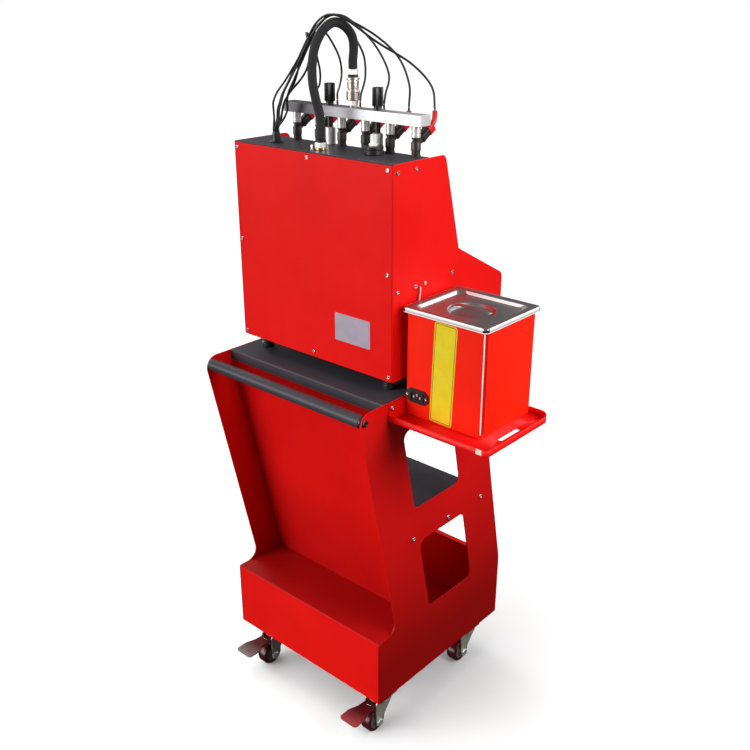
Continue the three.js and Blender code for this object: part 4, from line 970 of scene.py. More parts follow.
# %% Lid's bright faces and strap
for face in lid.faces:
    x, y, z = face.calc_center_median()
    skirt = (abs(x) > 84 and abs(y) < 71) or (abs(y) > 77 and abs(x) < 78)
    wall = (62 < x < 76 and abs(y) < 50) or (-69 < y < -55 and abs(x) < 57)
    face.material_index = int(skirt or (wall and abs(face.normal.z) < 0.86))
shift(lid, *BATH, LID_Z)
lid_piece = finish_piece("lid_pressing", lid, [steel, white_and_highlight], "lid", "bath_lid", edge=0)
thicken(lid_piece, LID_SHEET)
strap_line = smooth_line([(-CUP_RADIUS - 1, 0, -6.5), (-CUP_RADIUS + 4, 0, -4.6), (-14, 0, -2.4), (14, 0, -2.4),
                          (CUP_RADIUS - 4, 0, -4.6), (CUP_RADIUS + 1, 0, -6.5)], 6)
strap = swept(strap_line, 1.5, 10)
bmesh.ops.scale(strap, verts=strap.verts, vec=(1, 4.2, 1))
shift(strap, *BATH, LID_Z)
finish_piece("lid_strap", strap, steel, "lid", edge=0)

# %% [markdown]
# ### The basket
# A wire basket holds the injectors in the tank. Wires run down one wall, across the bottom and up the other, in
# both directions, and are welded to three rings. Each wire is a short swept line with rounded corners.

# %% Basket
BASKET = (131, 117)
BASKET_LOW, BASKET_HIGH = 820.1, 876.2


def wire_ring(width, depth, z, radius, gauge):
    """A closed rectangle of wire with rounded corners."""
    ring = bmesh.new()
    rounded_face(ring, rectangle(-width / 2, -depth / 2, width / 2, depth / 2, radius), 6)
    line = [vert.co.copy() for vert in ring.faces[:][0].verts]
    ring.free()
    return shift(swept([*line, line[0], line[1]], gauge, 8), z=z)


def wire_u(half, gauge):
    """A wire down one wall, across the bottom and up the other wall."""
    points = [(-half, 0, BASKET_HIGH), (-half, 0, BASKET_LOW + 5), (-half + 1.5, 0, BASKET_LOW + 1.5),
              (-half + 5, 0, BASKET_LOW), (half - 5, 0, BASKET_LOW), (half - 1.5, 0, BASKET_LOW + 1.5),
              (half, 0, BASKET_LOW + 5), (half, 0, BASKET_HIGH)]
    return swept(points, gauge, 6)


half_x, half_y = BASKET[0] / 2 - 1.5, BASKET[1] / 2 - 1.5
across = [Matrix.Translation((0, y * 7.1, 0)) for y in range(-7, 8)]
along = [Matrix.Translation((x * 7.3, 0, 0)) @ Matrix.Rotation(math.pi / 2, 4, "Z") for x in range(-8, 9)]
ears = [swept([(side * half_x, -18, BASKET_HIGH), (side * half_x, -16, BASKET_HIGH + 9),
               (side * half_x, -12, BASKET_HIGH + 12), (side * half_x, 12, BASKET_HIGH + 12),
               (side * half_x, 16, BASKET_HIGH + 9), (side * half_x, 18, BASKET_HIGH)], 1.4, 8) for side in (-1, 1)]
feet = copies(rod(2.5, 811.1, BASKET_LOW, steps=16), [Matrix.Translation((x * 43, y * 38, 0))
                                                       for x in (-1, 1) for y in (-1, 1)])
basket = gather(
    copies(wire_u(half_x, 0.8), across), copies(wire_u(half_y, 0.8), along),
    wire_ring(BASKET[0] - 1, BASKET[1] - 1, BASKET_HIGH, 7, 1.5),
    *[wire_ring(BASKET[0] - 2, BASKET[1] - 2, z, 6, 0.9) for z in (834.7, 854.7)], *ears, feet,
)
finish_piece("wire_basket", shift(basket, *BATH), steel, "basket", "bath_basket", edge=0)

# %% [markdown]
# ### Mains inlets
# Both inlets are the usual three-pin appliance socket: a flange with two screws, a six-sided hole with two cut
# corners, and three flat pins. The same form serves the bath and the cabinet.

# %% Mains inlets
def inlet(name, matrix, replaces, floor=-13):
    """A socket whose floor is deep in its case, or shallow where the case behind it isn't cut."""
    flange = [(-24, -6, 4), (-15, -13, 5), (15, -13, 5), (24, -6, 4), (24, 6, 4), (15, 13, 5), (-15, 13, 5),
              (-24, 6, 4)]
    mouth = [(-12.5, -7.5, 1), (12.5, -7.5, 1), (12.5, 4, 1), (8.5, 7.5, 1), (-8.5, 7.5, 1), (-12.5, 4, 1)]
    collar = [(u * 1.18, v * 1.24, 2) for u, v, r in mouth]
    pins = [plate(rectangle(u - 1.1, v - 2.1, u + 1.1, v + 2.1), "y", floor, max(floor + 2, -1.5))
            for u, v in ((-7, -1.5), (0, 2.2), (7, -1.5))]
    form = gather(
        (plate(flange, "y", SEAT, 2.4, [mouth]), 0), (plate(collar, "y", 2.2, 3.4, [mouth]), 0),
        (plate(collar, "y", -16.5, SEAT + 0.5, [mouth]), 0), (plate(collar, "y", -16.5, floor), 0),
        (copies(screw(2.7, 1.4, cross_hole(1.6)), [facing(side * 20, 2.4, 0, "+y") for side in (-1, 1)]), 1),
        *[(pin, 2) for pin in pins],
    )
    return finish_piece(name, turn(form, matrix), [black_plastic, screw_metal, pin_metal],
                        replaces=replaces, edge=0.35, segments=2)


inlet("bath_mains_inlet", Matrix.Translation((-229.7, -66, 756.4)), "bath_inlet", 0.5)
MAINS_Y, MAINS_Z = CABINET_Y - 74, CABINET_Z + 53
inlet("cabinet_mains_inlet", Matrix.Translation((CABINET_HALF, MAINS_Y, MAINS_Z))
      @ Matrix.Rotation(-math.pi / 2, 4, "Z"), "power_inlet")

# %% [markdown]
# ## The tester cabinet
# Two cut cheeks, a rear cover, a top plate and a folded front make the cabinet. The cover sits between the cheeks
# with a fine joint, so the rounded edges of both sheets show as a thin bright line.

# %% Cheeks and rear cover
CHEEK = [(0, 0, 3), (0, 371.9, 3), (-134.2, 371.9, 12), (-179.6, 202.9, 3), (-321.2, 127, 14), (-321.2, 0, 3)]
CHEEK = [(y + CABINET_Y, z + CABINET_Z, radius) for y, z, radius in CHEEK]
ROCKER_Y = CABINET_Y - 114
socket_hole = rectangle(MAINS_Y - 14, MAINS_Z - 8.4, MAINS_Y + 14, MAINS_Z + 8.4, 2)
rocker_hole = rectangle(ROCKER_Y - 6.9, MAINS_Z - 9.9, ROCKER_Y + 6.9, MAINS_Z + 9.9)
for name, low, holes in (("right", CABINET_HALF - SHEET, [socket_hole, rocker_hole]), ("left", -CABINET_HALF, ())):
    finish_piece(f"cabinet_{name}", plate(CHEEK, "x", low, low + SHEET, holes, 10), red_paint,
                 replaces=f"cheek_{name}", edge=0.8)
CABINET_INNER = 187.4
cover = plate(rectangle(-CABINET_INNER, CABINET_Z + SEAT, CABINET_INNER, TOP_Z - 2.3, 1.5), "y",
              CABINET_Y - SHEET, CABINET_Y)
finish_piece("rear_cover_sheet", cover, red_paint, replaces="rear_cover", edge=0.8)

# %% [markdown]
# ### Top, base, feet and drain tube
# The top plate has six holes for the injectors, so it is a plate with holes. The base is a plain sheet on four
# turned rubber feet. A short clear tube hangs from the cheek above the bath.

# %% Top, base, feet and drain tube
drip_line = smooth_line([(-190, -116, 932), (-192.4, -114, 930), (-193.4, -112, 922), (-193.2, -110, 908),
                          (-192.6, -108, 886)])
finish_piece("drain_tube", swept(drip_line, 2, 10), tube_pink, edge=0)
nozzle_holes = [rectangle(x - 6.8, RAIL_Y - 6.8, x + 6.8, RAIL_Y + 6.8, 6.6) for x in INJECTORS]
top_sheet = plate(rectangle(-CABINET_INNER, -138.3, CABINET_INNER, CABINET_Y - SEAT), "z", TOP_Z - SHEET, TOP_Z,
                  nozzle_holes, 4)
finish_piece("top_sheet", top_sheet, grey_paint, replaces="cabinet_top", edge=0.7)
feet = [Matrix.Translation((side * 157.4, CABINET_Y - out, 0)) for side in (-1, 1) for out in (30, 210)]
foot = turned([(0, DECK_Z + SEAT), (10.5, DECK_Z + SEAT), (12, DECK_Z + 2), (12, DECK_Z + 9), (9.5, DECK_Z + 11),
               (9.5, CABINET_Z + 1), (0, CABINET_Z + 1)])
base = gather((box((-CABINET_INNER, -359.9, CABINET_Z + SEAT), (CABINET_INNER, -47.6, CABINET_Z + SEAT + 2)), 0),
              (copies(foot, feet), 1))
finish_piece("base_sheet", base, [grey_paint, black_plastic], replaces="cabinet_base", edge=0.5)

# %% [markdown]
# ### The cabinet's screws
# Small cross-head screws hold the cover and the cheeks. Their places were read one by one, because they don't stand
# in even rows.

# %% Cabinet screws
COVER_SCREWS = [(184.9, 1136.4), (3.4, 1137.2), (-177.7, 1137.4), (185.5, 966.8), (-177.9, 965.8), (181.7, 784.3),
                (-0.7, 786.4), (-181.4, 784.3)]
CHEEK_SCREWS = [(-55.6, 1133), (-101.8, 1133.5), (-57.3, 935.3), (-104.5, 935.5), (-130.3, 935.7), (-206.7, 937.3)]
screws("cabinet_screws", 3.3, 1.5, cross_hole(2.1),
       [(min(x, 182.5), CABINET_Y, z, "+y") for x, z in COVER_SCREWS]
       + [(side * CABINET_HALF, y, z, "+x" if side > 0 else "-x") for side in (-1, 1) for y, z in CHEEK_SCREWS],
       screw_metal)

# %% [markdown]
# ### Bare plates
# The cabinet and the bath each carry a plate with nothing on it: a silver one on the cover, and a yellow one with a
# thin dark frame on the bath, stuck on a little crooked.

# %% Plates
plate_form = plate(rectangle(-139, 824, -56, 875, 2), "y", CABINET_Y + 0.02, CABINET_Y + 0.4)
finish_piece("bare_plate", plate_form, label_silver, edge=0.15, segments=2)
yellow_form = gather((plate(rectangle(-23.2, -90.5, 23.2, 90.5, 5), "y", 0.02, 0.3), 0),
                     (plate(rectangle(-21.2, -88.5, 21.2, 88.5, 4), "y", 0.25, 0.38,
                            [rectangle(-20.1, -87.4, 20.1, 87.4, 3.2)]), 1))
turn(yellow_form, Matrix.Translation((-283, -66, 810)) @ Matrix.Rotation(math.radians(-2.2), 4, "Y"))
finish_piece("yellow_plate", yellow_form, [label_yellow, frame_print], edge=0)

# %% [markdown]
# ### The front: the console
# The front isn't in the picture. It follows what such a tester needs: six glass measuring tubes in front of a white
# board, a pressure gauge, and a sloping console with keys and two displays. The folded sheet is the CAD piece. The
# panel on it is drawn flat, with every key in its place, and turned onto the slope as a whole.

# %% Console
dress("control_panel", red_paint)
SLOPE = math.atan2(75.9, 141.6)
CONSOLE = Matrix.Translation((0, -291.7, 936.15)) @ Matrix.Rotation(SLOPE, 4, "X")
keys = []
for column in range(6):
    for line in range(2):
        u, v = -60 + column * 34, -34 + line * 27
        keys.append((plate(rectangle(u - 12, v - 8, u + 12, v + 8, 4), "z", 0.9, 2.1), 1))
windows = [(plate(rectangle(u - 34, 20, u + 34, 46, 2), "z", 0.9, 1.5), 2) for u in (-26, 60)]
dial_knob = shift(turned([(0, 0.9), (14, 0.9), (14, 3), (12, 4), (11, 16), (9, 18), (0, 18)]), -122, 6)
pointer = box((-122.6, 9, 17.8), (-121.4, 15.5, 18.4))
panel = gather((plate(rectangle(-165, -62, 165, 62, 8), "z", 0.05, 0.9), 0), *keys, *windows, (dial_knob, 3),
               (pointer, 4))
finish_piece("console_panel", turn(panel, CONSOLE), [membrane, hub_plastic, display_glass, knob_plastic, board_white],
             edge=0.5)

# %% [markdown]
# ### The pressure gauge
# A turned bezel holds a white dial behind a thin pane. The dial's marks and needle could be a picture, but thin
# blocks stay sharp from near and need none. Each mark is one block, turned round the dial's centre.

# %% Pressure gauge
BOARD_Y = CABINET_Y - 82.7 + 14
GAUGE = (156, CABINET_Z + 318)
face_y = BOARD_Y - 20
dial_turn = TURNS["y"] @ Matrix.Scale(-1, 4, (0, 0, 1))
bezel = turned([(0, BOARD_Y - SEAT), (25, BOARD_Y - SEAT), (27, BOARD_Y - 3), (27, BOARD_Y - 21), (25.5, BOARD_Y - 24),
                (23.6, BOARD_Y - 24), (23.2, face_y), (0, face_y)], "y", 64)
ticks = []
for number in range(41):
    angle = math.radians(225 - number * 6.75)
    inner, thick = (17.5, 0.45) if number % 4 == 0 else (19.5, 0.22)
    mark = box((inner, -thick, 0), (21.6, thick, 0.12))
    ticks.append((turn(mark, Matrix.Translation((0, face_y, 0)) @ dial_turn @ Matrix.Rotation(angle, 4, "Z")), 2))
needle = turn(gather(box((-5, -0.7, 0), (17, 0.7, 0.5), 0.6), rod(2.2, 0, 1.4)),
              Matrix.Translation((0, face_y - 0.4, 0)) @ dial_turn @ Matrix.Rotation(math.radians(200), 4, "Z"))
pane = rod(23.5, BOARD_Y - 23.2, BOARD_Y - 22.4, "y", 64)
dial = rod(23, face_y - 0.05, face_y + 1, "y", 64)
gauge = gather((bezel, 0), (dial, 1), *ticks, (needle, 3), (pane, 4))
finish_piece("gauge", shift(gauge, GAUGE[0], 0, GAUGE[1]), [black_plastic, board_white, ink, boot_plastic, glass],
             replaces="pressure_gauge", edge=0.3, segments=2)

# %% [markdown]
# ### The measuring tubes
# Each injector sprays into a glass tube with a scale behind it. A tube is a turned wall with an inner and an outer
# face, because light bends at both. One tube is made and copied along the rail's pitch.

# %% Measuring tubes and their board
dress("tube_backboard", board_white)
LEDGE_Z = CABINET_Z + 198.9
tube_low, tube_high = LEDGE_Z + 14.3, TOP_Z - 2.3
wall = turned([(10.6, tube_low - 2), (12, tube_low - 2), (12, tube_high), (10.6, tube_high), (10.6, tube_low - 2)])
ring = turned([(11, 0), (13.4, 0), (13.4, 5), (11, 5), (11, 0)])
places = [Matrix.Translation((x, RAIL_Y, 0)) for x in INJECTORS]
bar_end = PITCH * 2.5 + 14
bar = box((RAIL_X - bar_end, RAIL_Y - 17, LEDGE_Z + SEAT), (RAIL_X + bar_end, RAIL_Y + 12.3, tube_low))
rings = copies(ring, [place @ Matrix.Translation((0, 0, z)) for place in places for z in (tube_low, tube_high - 6)])
finish_piece("measuring_tubes_glass", gather((copies(wall, places), 0), (rings, 1), (bar, 2)),
             [glass, black_plastic, rail_metal], replaces="measuring_tubes", edge=0.4, segments=2)
marks = []
for step in range(15):
    half_mark = 11 if step % 5 == 0 else 7
    marks.append(box((13.6, BOARD_Y - 0.15, 0), (13.6 + half_mark, BOARD_Y + 0.1, 0.5)))
    shift(marks[-1], z=tube_low + 12 + step * 9)
scale = copies(gather(*marks), [Matrix.Translation((x, 0, 0)) for x in INJECTORS])
finish_piece("tube_scales", scale, ink, edge=0)

# %% [markdown]
# ### Inside the cabinet
# The fuel tank and the pump are hidden, and their CAD forms are right, so they only get a milky plastic and zinc.

# %% Tank and pump inside
dress("fuel_tank", milky)
dress("fuel_pump", zinc)

# %% [markdown]
# ### The switch
# The rocker tilts in its hole, so it is a body of its own. Its face is a shallow V, as on the real switch.

# %% Rocker
rocker_face = [(-13, -6.5), (-13, 6.5), (0, 9.4), (3.4, 9.3, 0.6), (1.7, 0, 4), (1.7, -9.3, 0.6), (0, -9.4)]
rocker = shift(plate(rocker_face, "y", ROCKER_Y - 6.4, ROCKER_Y + 6.4), CABINET_HALF, 0, MAINS_Z)
finish_piece("rocker", rocker, black_plastic, "rocker", "power_switch", edge=0.4)

# %% [markdown]
# ## The fuel rail
# A solid aluminium bar with six ports, held down on two posts. The bar is milled and brushed along its length, so
# its edges get a small chamfer from the Bevel modifier and its finish a long stretched noise. A post is a bright
# turned foot with a black rod in it.

# %% Rail and posts
RAIL_HALF = 157.5
POSTS = {"left": RAIL_X - PITCH, "right": RAIL_X + PITCH}
rail = box((RAIL_X - RAIL_HALF, RAIL_Y - 13.5, RAIL_LOW), (RAIL_X + RAIL_HALF, RAIL_Y + 13.5, RAIL_HIGH))
finish_piece("rail_bar", rail, rail_metal, replaces="fuel_rail", edge=0.6)
for side, x in POSTS.items():
    post = gather(
        (turned([(0, TOP_Z + SEAT), (8.6, TOP_Z + SEAT), (9.2, TOP_Z + 1), (9.2, TOP_Z + 29.4), (8.6, TOP_Z + 30),
                 (0, TOP_Z + 30)]), 0),
        (rod(5, TOP_Z + 29, RAIL_HIGH + 30), 1),
    )
    finish_piece(f"post_{side}", shift(post, x, RAIL_Y), [satin, knob_plastic],
                 replaces=f"rail_post_{side}", edge=0.3)
print("rail from", row(RAIL_X - RAIL_HALF, RAIL_Y, RAIL_LOW), "to", row(RAIL_X + RAIL_HALF, RAIL_Y, RAIL_HIGH))

# %% [markdown]
# ### The clamp knobs
# A knurled knob turns on each post. Knurling could be a bump, but its ridges show in the outline, so the outline of
# a plate runs in and out, and both ends are chamfered.

# %% Clamp knobs
def ridged_rod(radius, depth, ridges, low, high, chamfer=0.8):
    """A knurled grip: its outline runs in and out around the axis."""
    outline = []
    for number in range(ridges * 2):
        angle = math.pi * number / ridges
        reach = radius - (depth if number % 2 else 0)
        outline.append((reach * math.cos(angle), reach * math.sin(angle)))
    form = plate(outline, "z", low, high)
    for end in (low, high):
        rims = [edge for edge in form.edges if all(abs(v.co.z - end) < 1e-4 for v in edge.verts)]
        bmesh.ops.bevel(form, geom=rims, offset=chamfer, segments=2, profile=0.5, affect="EDGES", material=-1)
    return form


knob_base = RAIL_HIGH + SEAT
knob_top = knob_base + 36.2
for side, x in POSTS.items():
    knob = gather(
        turned([(5.35, knob_base), (7, knob_base), (7, knob_base + 6.5), (5.35, knob_base + 6.5),
                (5.35, knob_base)]),
        ridged_rod(9.4, 0.5, 40, knob_base + 6, knob_top),
    )
    finish_piece(f"clamp_knob_{side}_grip", shift(knob, x, RAIL_Y), knob_plastic, f"knob_{side}",
                 f"clamp_knob_{side}", edge=0)

# %% [markdown]
# ### The quick coupler
# The hose ends in a push-on coupler: a nipple screwed into the rail, a hexagon, a stem with a sliding ring, and a
# bright hexagon ferrule. All but the hexagons are turned, so each part is one profile spun round the axis. The ring
# slides down by 1.5 mm, so the body's shoulder stays that much below it.

# %% Coupler
def hexagon_nut(across, low, high, chamfer=1.0):
    """A nut whose corners are turned off at both ends: a hexagon cut by a cone, as a lathe leaves it."""
    corner = across / math.sqrt(3)
    form = plate(hexagon_corners(corner), "z", low, high)
    for end in (low, high):
        sharp = [v for v in form.verts if abs(v.co.z - end) < 1e-4]
        rims = [edge for edge in form.edges if all(v in sharp for v in edge.verts)]
        bmesh.ops.bevel(form, geom=rims, offset=chamfer * 0.8, segments=1, profile=0.5, affect="EDGES", material=-1)
    return form


coupler_base = RAIL_HIGH + SEAT
ring_base, ring_top = coupler_base + 30.8, coupler_base + 43.1
coupler = gather(
    (turned([(0, 0), (6.5, 0), (6.5, 2.4), (0, 2.4)]), 0), (hexagon_nut(15.4, 2, 11.8, 1.2), 0),
    (turned([(0, 11.6), (10.6, 11.6), (11.6, 12.6), (11.6, 26.6), (10.9, 27.4), (10.9, 28.4), (10.3, 29), (8.2, 29),
             (8.2, 45), (0, 45)]), 0),
    (turned([(0, 44.6), (10.6, 44.6), (11.6, 45.4), (11.6, 48.2), (10.4, 49.4), (8, 49.8), (0, 49.8)]), 0),
    (turned([(0, 49.7), (8.8, 49.7), (8.8, 53.2), (0, 53.2)]), 1),
)
ferrule = hexagon_nut(16.6, 53, 62, 0.9)
finish_piece("coupler_body", shift(coupler, RAIL_X, RAIL_Y, coupler_base), [nickel, black_plastic],
             replaces="quick_coupler", edge=0.35, segments=2)
finish_piece("coupler_ferrule", shift(ferrule, RAIL_X, RAIL_Y, coupler_base), satin,
             edge=0.2, segments=2)
ring = turned([(8.6, ring_base), (9.7, ring_base), (10.3, ring_base + 0.6), (10.3, ring_base + 3),
               (9.9, ring_base + 3.4), (9.9, ring_top - 3.4), (10.3, ring_top - 3), (10.3, ring_top - 0.6),
               (9.7, ring_top), (8.6, ring_top), (8.6, ring_base)])
finish_piece("sliding_ring", shift(ring, RAIL_X, RAIL_Y), nickel, "sleeve",
             "coupler_sleeve", edge=0.15, segments=2)

# %% [markdown]
# ### Fittings on the cabinet's top
# The hose leaves through a hexagon fitting with a brass washer, the leads through a black cable gland, and fluid
# comes back through a ribbed fitting. A small plated nipple stands between them.

# %% Hose fitting, gland and return
def on_top(name, x, y, form, materials, replaces=(), edge=0.3):
    """A piece that stands on the cabinet's top plate."""
    return finish_piece(name, shift(form, x, y, TOP_Z), materials, replaces=replaces, edge=edge, segments=2)


hose_foot = gather(
    (turned([(0, SEAT), (10.2, SEAT), (10.2, 3.6), (9.6, 4.2), (0, 4.2)]), 1), (hexagon_nut(18.4, 4.2, 13.2, 0.9), 0),
    (turned([(0, 13), (8.9, 13), (8.9, 16.4), (8.4, 17), (0, 17)]), 2),
)
on_top("hose_foot", -2, -74, hose_foot, [satin, brass, knob_plastic], "hose_fitting")
gland = gather(
    turned([(0, SEAT), (10.8, SEAT), (11.2, 0.8), (11.2, 1.9), (10.6, 2.5), (8, 2.8), (0, 2.8)]),
    *[box((side * 11.6 - 2, -2.4, SEAT), (side * 11.6 + 2, 2.4, 2.2), 0.8) for side in (-1, 1)],
    turned([(0, 2.6), (7.6, 2.6), (7.4, 9), (6.9, 15), (6.4, 18.6), (5.8, 19), (0, 19)]),
)
on_top("lead_gland", 117.5, -82, gland, black_plastic, "cable_gland")
ribs = gather(
    (turned([(0, SEAT), (16, SEAT), (16.5, 1), (16.5, 6.4), (16, 7), (15.4, 7.4), (15.4, 8.2), (16, 8.6),
             (16.5, 9.2), (16.5, 13), (15.6, 14.2), (9, 14.6), (0, 14.6)]), 0),
    (hexagon_nut(15, 14.4, 18.4, 0.8), 1),
    (turned([(0, 18.2), (5.6, 18.2), (5.6, 31.6), (5, 32.5), (3.4, 32.5), (3.4, 24), (0, 24)]), 2),
)
on_top("return_foot", -99.5, -100, ribs, [black_plastic, satin, white_and_highlight], "return_fitting")
nipple = turned([(0, SEAT), (3, SEAT), (3, 1.6), (1.8, 2), (1.8, 8.6), (1.3, 9.4), (0, 9.4)])
on_top("small_nipple", 8, -62, nipple, nickel, edge=0.15)

# %% [markdown]
# ### The injectors
# Six injectors stand under the rail. Each is a stack: a black lower body in the cabinet's top, a bright metal stem
# under the rail, and a tilted plug with a red boot that its lead leaves. They aren't quite alike: the boots end at
# different heights. So a function makes the same forms six times, and a list gives the boots' ends.

# %% Forms of an injector
PLUG_TILT = math.radians(-32)
plug_way = (Matrix.Translation((0, -2, 22)) @ Matrix.Rotation(PLUG_TILT, 4, "X") @ TURNS["y"]
            @ Matrix.Scale(-1, 4, (0, 0, 1)))


def injector_forms():
    lower = turned([(6.5, -9), (6.5, 0.3), (8.2, 0.3), (8.2, 2.4), (7.4, 3), (7.4, 9), (8.2, 9.6), (8.2, 22.6),
                    (7.4, 24), (6, 24.4), (6, 28), (6.8, 28.2), (7.6, 28.8), (7.6, 30.6), (7, 31.2), (0, 31.2)])
    stem = turned([(0, 31), (7.2, 31), (7.6, 31.5), (7.6, 36), (6.9, 36.5), (6.9, 37.6), (7.6, 38.1), (7.6, 49.2),
                   (7.2, 49.7), (0, 49.7)])
    neck = plate(rectangle(-6, -5, 6, 5, 2.4), "z", -2, 12)
    shell = plate(rectangle(-7.5, -6.5, 7.5, 6.5, 2.6), "z", 10, 31, [rectangle(-6.2, -5.2, 6.2, 5.2, 1.6)])
    core = plate(rectangle(-5.6, -4.6, 5.6, 4.6, 1.4), "z", 8, 27)
    flange = plate(rectangle(-8, -7, 8, 7, 2.8), "z", 11, 13)
    clip = plate(rectangle(-8.4, -7.6, 8.4, 7.6, 2.8), "z", 30, 43)
    clip_window = plate(rectangle(-4.2, 7.2, 4.2, 8.4, 0.8), "z", 14, 31)
    plug = gather((neck, 0), (shell, 0), (core, 0), (flange, 0), (clip, 2), (clip_window, 0))
    return gather((lower, 0), (stem, 1), turn(plug, plug_way))


# %% [markdown]
# ### The six injectors in their places
# A lead leaves its boot upwards in a soft bend. The boot is the same bend swept thicker, up to its own height.

# %% Injectors in their places
BOOT_TOPS = [50, 50, 50, 60.5, 65, 69]
elbow_line = smooth_line([(0, -36, 44), (0, -42, 48), (0, -46.5, 54), (0, -48, 61), (0, -48, 69.9)], 6)
for number, (x, boot_top) in enumerate(zip(INJECTORS, BOOT_TOPS), 1):
    boot = swept([point for point in elbow_line if point.z <= boot_top], 4.4, 14)
    injector = gather(injector_forms(), (swept(elbow_line, LEAD_RADIUS, 14), 0), (boot, 2))
    on_top(f"injector_{number}_detail", x, RAIL_Y, injector, [injector_plastic, satin, boot_plastic],
           f"injector_{number}", edge=0.35)
print("injectors at", [round(x, 1) for x in INJECTORS])

# %% [markdown]
# ### The tie round the leads
# A flat cable tie keeps the six leads together where they bend away from the hose. It is a thin turned ring with a
# block for its lock, turned so that the leads run through it.

# %% Tie
tie_line = Vector((-23, -3.5, 38)).normalized()
tie_turn = Vector((0, 0, 1)).rotation_difference(tie_line).to_matrix().to_4x4()
strap_ring = turned([(7, -1.8), (7.9, -1.8), (7.9, 1.8), (7, 1.8), (7, -1.8)])
tie = gather(strap_ring, box((6.8, -2.4, -2.6), (11.4, 2.4, 2.6), 0.8), box((10, -1.2, -0.5), (13.5, 1.2, 0.5)))
finish_piece("lead_tie", turn(tie, Matrix.Translation((34.4, -91.2, 1326.2)) @ tie_turn), black_plastic,
             edge=0.2, segments=2)

# %% [markdown]
# ## The casters
# Four swivel casters stand under the base. A fork is one bent plate with a crown and two legs, so each leg is an
# outline pulled to its thickness. The axle bolt is part of it, with a nut on either side.

# %% Forms of a fork
CASTERS = {"rear_left": (-155, -55), "rear_right": (155, -55), "front_left": (-155, -342), "front_right": (155, -342)}
AXLE_OUT, AXLE_Z = 22, 25
LEG = [(-25, 73.7, 3), (-25, 70.2, 3), (16, 19, 6), (28, 19, 6), (28, 70.2, 3), (25, 73.7)]


def fork_forms():
    crown = plate(rectangle(-25, -25, 25, 25, 24.6), "z", 70.2, 73.7, [rectangle(-8.3, -8.3, 8.3, 8.3, 8.1)])
    legs = [plate(LEG, "x", *sorted((side * 13.5, side * 16.5))) for side in (-1, 1)]
    bolt = shift(rod(4, -22.5, 22.5, "x", 24), 0, AXLE_OUT, AXLE_Z)
    nuts = [turn(hexagon_nut(15.6, 16.4, 22.4, 1.4), Matrix.Translation((0, AXLE_OUT, AXLE_Z))
                 @ Matrix.Rotation(side * QUARTER, 4, "Y")) for side in (-1, 1)]
    return gather((crown, 0), (legs[0], 0), (legs[1], 0), (bolt, 1), (nuts[0], 1), (nuts[1], 1))


print("an axle stands", AXLE_OUT, "mm beside its caster's upright axis")

# %% [markdown]
# ### Forks and wheels
# A dark red tread is moulded round a grey hub. Both are turned, and thin lips on the hub keep the tread in place.
# A fork swivels and a wheel turns on its bolt, so at each caster both are bodies of their own.

# %% Forks and wheels
def wheel_forms():
    tyre = turned([(17, -11.6), (22.8, -11.6), (24.2, -10.6), (25, -8.2), (25, 8.2), (24.2, 10.6), (22.8, 11.6),
                   (17, 11.6), (17, -11.6)], "x", 72)
    hub = turned([(4.4, -12), (9, -12), (9, -9.6), (17.4, -9), (17.4, 9), (9, 9.6), (9, 12), (4.4, 12),
                  (4.4, -12)], "x", 72)
    lips = [turned([(15.4, side * 9), (17.6, side * 9), (17.6, side * 11.2), (15.4, side * 11.2), (15.4, side * 9)],
                   "x", 72) for side in (-1, 1)]
    return gather((tyre, 0), (hub, 1), (lips[0], 1), (lips[1], 1))


for place, (x, y) in CASTERS.items():
    finish_piece(f"fork_{place}", shift(fork_forms(), x, y), [zinc, satin], f"caster_{place}",
                 f"caster_fork_{place}", edge=0.5)
    finish_piece(f"wheel_{place}_detail", shift(wheel_forms(), x, y + AXLE_OUT, AXLE_Z), [tread, hub_plastic],
                 f"wheel_{place}", f"caster_wheel_{place}", edge=0.5)

# %% [markdown]
# ### The brake pedals
# Each rear caster has a pressed steel pedal in dark red paint. Feet have polished its tip: on the right one down to
# grey metal, on the left one to a lighter red. The wear runs along the pedal, so a gradient does it.

# %% Pedal paint
PEDAL_TIP = row(0, 0, 0).y + 0.043


def polished_towards(name, tip):
    """A pedal's paint, whose colour runs from dark red to its tip's colour along the y axis."""
    material = new_finish(name, tip, 0.38)
    place = add_node(material, "ShaderNodeTexCoord").outputs["Object"]
    along = add_node(material, "ShaderNodeSeparateXYZ", {"Vector": place}).outputs[1]
    share = add_node(material, "ShaderNodeMapRange",
                     {"Value": along, "From Min": PEDAL_TIP - 0.04, "From Max": PEDAL_TIP}).outputs[0]
    link_to(material, blend_colours(material, share, (0.13, 0.006, 0.009), tip), "Base Color")
    vary_roughness(material, 200, 0.32, 0.46)
    return material


PEDAL_PAINT = {"right": polished_towards("worn_grey_pedal", (0.27, 0.26, 0.26)),
               "left": polished_towards("light_red_pedal", (0.4, 0.07, 0.075))}
print("a pedal's paint is rubbed off towards y =", round(PEDAL_TIP, 3), "m")

# %% [markdown]
# ### Their shape
# A pedal is a flared plate with two raised ridges for the sole and a bent tab that reaches the brake's pin. Both
# pedals are alike but for their paint, so one loop makes them.

